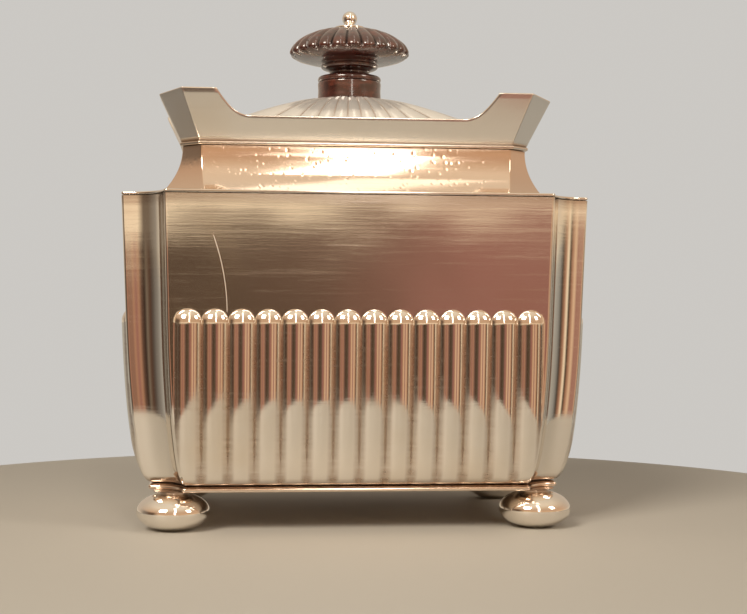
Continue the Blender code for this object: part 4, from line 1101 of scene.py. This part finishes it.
def knob_finish(name):
    """Dark red-brown hardwood: long grain with fine pores under a clear polish, darkened by painted
    shade in the cuts.
    """
    material, tree, shader = new_material(name)
    place = node(tree, "TexCoord").outputs["Object"]
    grain = node(tree, "Mapping", [("Vector", place), ("Rotation", (0.1, 0.06, 0.4)),
                                   ("Scale", (90.0, 620.0, 620.0))]).outputs["Vector"]
    figure = noise(tree, grain, 1.0, 6.0, ("Distortion", 0.6))
    shade_and_tarnish = node(tree, "Attribute", attribute_name="shade_and_tarnish").outputs["Fac"]
    colour = ramp(tree, figure, [(0.30, (0.030, 0.006, 0.004)), (0.50, (0.070, 0.014, 0.009)),
                                 (0.72, (0.160, 0.036, 0.020))])
    # Painted shade: where marked, the colour goes nearly black.
    colour = mixed(tree, shade_and_tarnish, colour, (0.010, 0.004, 0.003, 1.0))
    rough = remap(tree, noise(tree, place, 160.0, 4.0), 0.35, 0.7, 0.20, 0.38)
    pores = bump(tree, noise(tree, grain, 3.2, 2.0), 0.03 * MM, 0.5)
    feed(tree, shader, [("Base Color", colour), ("Roughness", rough), ("Normal", pores),
                        ("Coat Weight", 1.0), ("Coat Roughness", 0.09), ("Coat IOR", 1.75)])
    return material


def make_knob():
    """The drum: a turned outline with a bead and a groove near its top.  The cap: a turned
    outline from its waist out under the rim and over the top, sunk square to itself between
    the lobes."""
    finish = knob_finish("knob_polish")
    side = smooth_path([(7.30, 102.5), (7.75, 102.65), (7.85, 103.1), (7.78, 105.0), (7.85, 106.7),
                        (7.70, 107.05), (7.52, 107.15), (7.72, 107.3), (7.86, 107.8), (7.65, 108.35),
                        (7.05, 108.6), (5.4, 108.75)], 4) * MM
    profile = np.concatenate([[(ROD_HOLE, COLLAR_FOOT_Z)], side, [(ROD_HOLE, COLLAR_TOP_Z)]])
    shade_and_tarnish = np.zeros(len(profile))
    # Painted shade in the groove below the bead.
    shade_and_tarnish[21:27] = (0.4, 0.8, 1.0, 1.0, 0.8, 0.4)       # the groove below the bead
    piece("knob_drum", turned(profile, KNOB_STEPS), finish, "lid", "knob_wood", "knob_collar",
          shade_and_tarnish=shade_and_tarnish[:, None])

    under = smooth_path([(5.3, 108.85), (4.95, 109.4), (5.3, 110.0), (6.7, 110.5), (7.15, 111.2),
                         (6.9, 111.75), (7.6, 112.0), (10.6, 112.3), (13.3, 113.0)], 4)
    over = smooth_path([(14.45, 113.6), (14.9, 114.25), (14.75, 115.1), (13.85, 116.5), (11.9, 118.0),
                        (9.2, 119.3), (6.2, 120.1), (4.3, 120.25)], 5)
    path = np.concatenate([under, over, [(3.9, 120.2)]]) * MM
    tangent = np.gradient(path, axis=0)
    tangent /= np.linalg.norm(tangent, axis=1, keepdims=True)
    outward = pairs(tangent[:, 1], -tangent[:, 0])
    way = np.linspace(0, 1, len(over))
    over_share = np.clip(way / 0.06, 0.35, 1) * np.clip((1 - way) / 0.35, 0, 1) ** 0.8
    share = np.concatenate([np.zeros(len(under)), over_share, [0]])
    angle = full_turn(CAP_LOBES * CAP_COLUMNS)
    sunk = CAP_RELIEF * share[:, None] * (1 - lobes(angle, CAP_LOBES, 0.9))
    radius = path[:, :1] - sunk * outward[:, :1]
    height = path[:, 1:] - sunk * outward[:, 1:]
    level = np.ones((1, len(angle)))
    radius = np.concatenate([ROD_HOLE * level, radius, ROD_HOLE * level])
    height = np.concatenate([path[0, 1] * level, height, path[-1, 1] * level])
    shade_and_tarnish = np.zeros(radius.shape)
    # Painted shade in the cuts between the lobes.
    shade_and_tarnish[1:-1] = np.clip(sunk / CAP_RELIEF - 0.35, 0, 0.65) / 0.65
    piece("knob_mushroom", round_grid(radius, angle, height), finish, "lid", "knob_wood", "knob_cap",
          shade_and_tarnish=shade_and_tarnish)


make_knob()


# --- Finial and its screw -------------------------------------------
# A silver ball on a long screw clamps the knob: a thin washer lies on the cap, and a washer and
# a nut hold the screw below the dome.
FINIAL_Z = 123.15 * MM
FINIAL_RADIUS = 1.85 * MM
FINIAL_STEM_RADIUS = 1.05 * MM
ROD_RADIUS = 1.2 * MM
ROD_BEVEL = 0.2 * MM
ROD_FOOT_Z = 96.8 * MM
WASHER_Z = 120.3 * MM
WASHER_TOP_Z = 121.0 * MM
WASHER_RADIUS = 3.9 * MM
LID_WASHER_Z = 100.4 * MM
LID_WASHER_TOP_Z = 101.1 * MM
LID_WASHER_RADIUS = 4.0 * MM
NUT_Z = 97.9 * MM
NUT_TOP_Z = 100.1 * MM
NUT_RADIUS = 3.2 * MM


def ring_profile(inner, outer, low, high, edge):
    """The section of a washer with its outer edges rounded over."""
    lip = quarter_round(edge)
    lower = (outer, low) + lip * (-1, 1)
    return np.concatenate([[(inner, low)], lower, (outer, high) - lip[:, ::-1], [(inner, high)]])


def make_finial():
    """The turned washer, ball and screw, the washer below, and the nut: a circle's radius cut
    back to six flats."""
    finish = silver_finish("silver_finial", gloss=0.08, rub=(120.0, 120.0, 700.0), dent_depth=0.01)
    washer = turned(ring_profile(ROD_HOLE, WASHER_RADIUS, WASHER_Z, WASHER_TOP_Z, 0.3 * MM), 64)
    piece("cap_washer", washer, finish, "lid", "silver", "knob_washer", shade_and_tarnish=0.1)

    ball = np.linspace(math.asin(FINIAL_STEM_RADIUS / FINIAL_RADIUS), math.pi, 20)
    sphere = pairs(FINIAL_RADIUS * np.sin(ball), FINIAL_Z - FINIAL_RADIUS * np.cos(ball))
    sphere[-1, 0] = 0
    stem = smooth_path([(1.2, 121.05), (1.75, 121.12), (1.72, 121.32), (1.25, 121.42),
                        (1.05, 121.5)], 3) * MM
    rod = np.array([(0, ROD_FOOT_Z), (ROD_RADIUS - ROD_BEVEL, ROD_FOOT_Z),
                    (ROD_RADIUS, ROD_FOOT_Z + ROD_BEVEL)])
    profile = np.concatenate([rod, stem, sphere])
    piece("ball_finial", turned(profile, 48), finish, "lid", "silver", "finial_screw",
          wrap_rows=False)

    below = ring_profile(ROD_HOLE, LID_WASHER_RADIUS, LID_WASHER_Z, LID_WASHER_TOP_Z, 0.15 * MM)
    piece("lower_washer", turned(below, 64), finish, "lid", "silver", "lid_washer", shade_and_tarnish=0.4)

    profile = ring_profile(ROD_HOLE, NUT_RADIUS, NUT_Z, NUT_TOP_Z, 0.3 * MM)
    angle = full_turn(72)
    flat = math.pi / 6
    reach = NUT_RADIUS * math.cos(flat) / np.cos((angle + flat) % (2 * flat) - flat)
    radius = np.minimum(profile[:, :1], np.where(profile[:, :1] > ROD_HOLE, reach, profile[:, :1]))
    piece("hex_nut", round_grid(radius, angle, profile[:, 1:]), finish, "lid", "silver", "lid_nut",
          shade_and_tarnish=0.3)


make_finial()
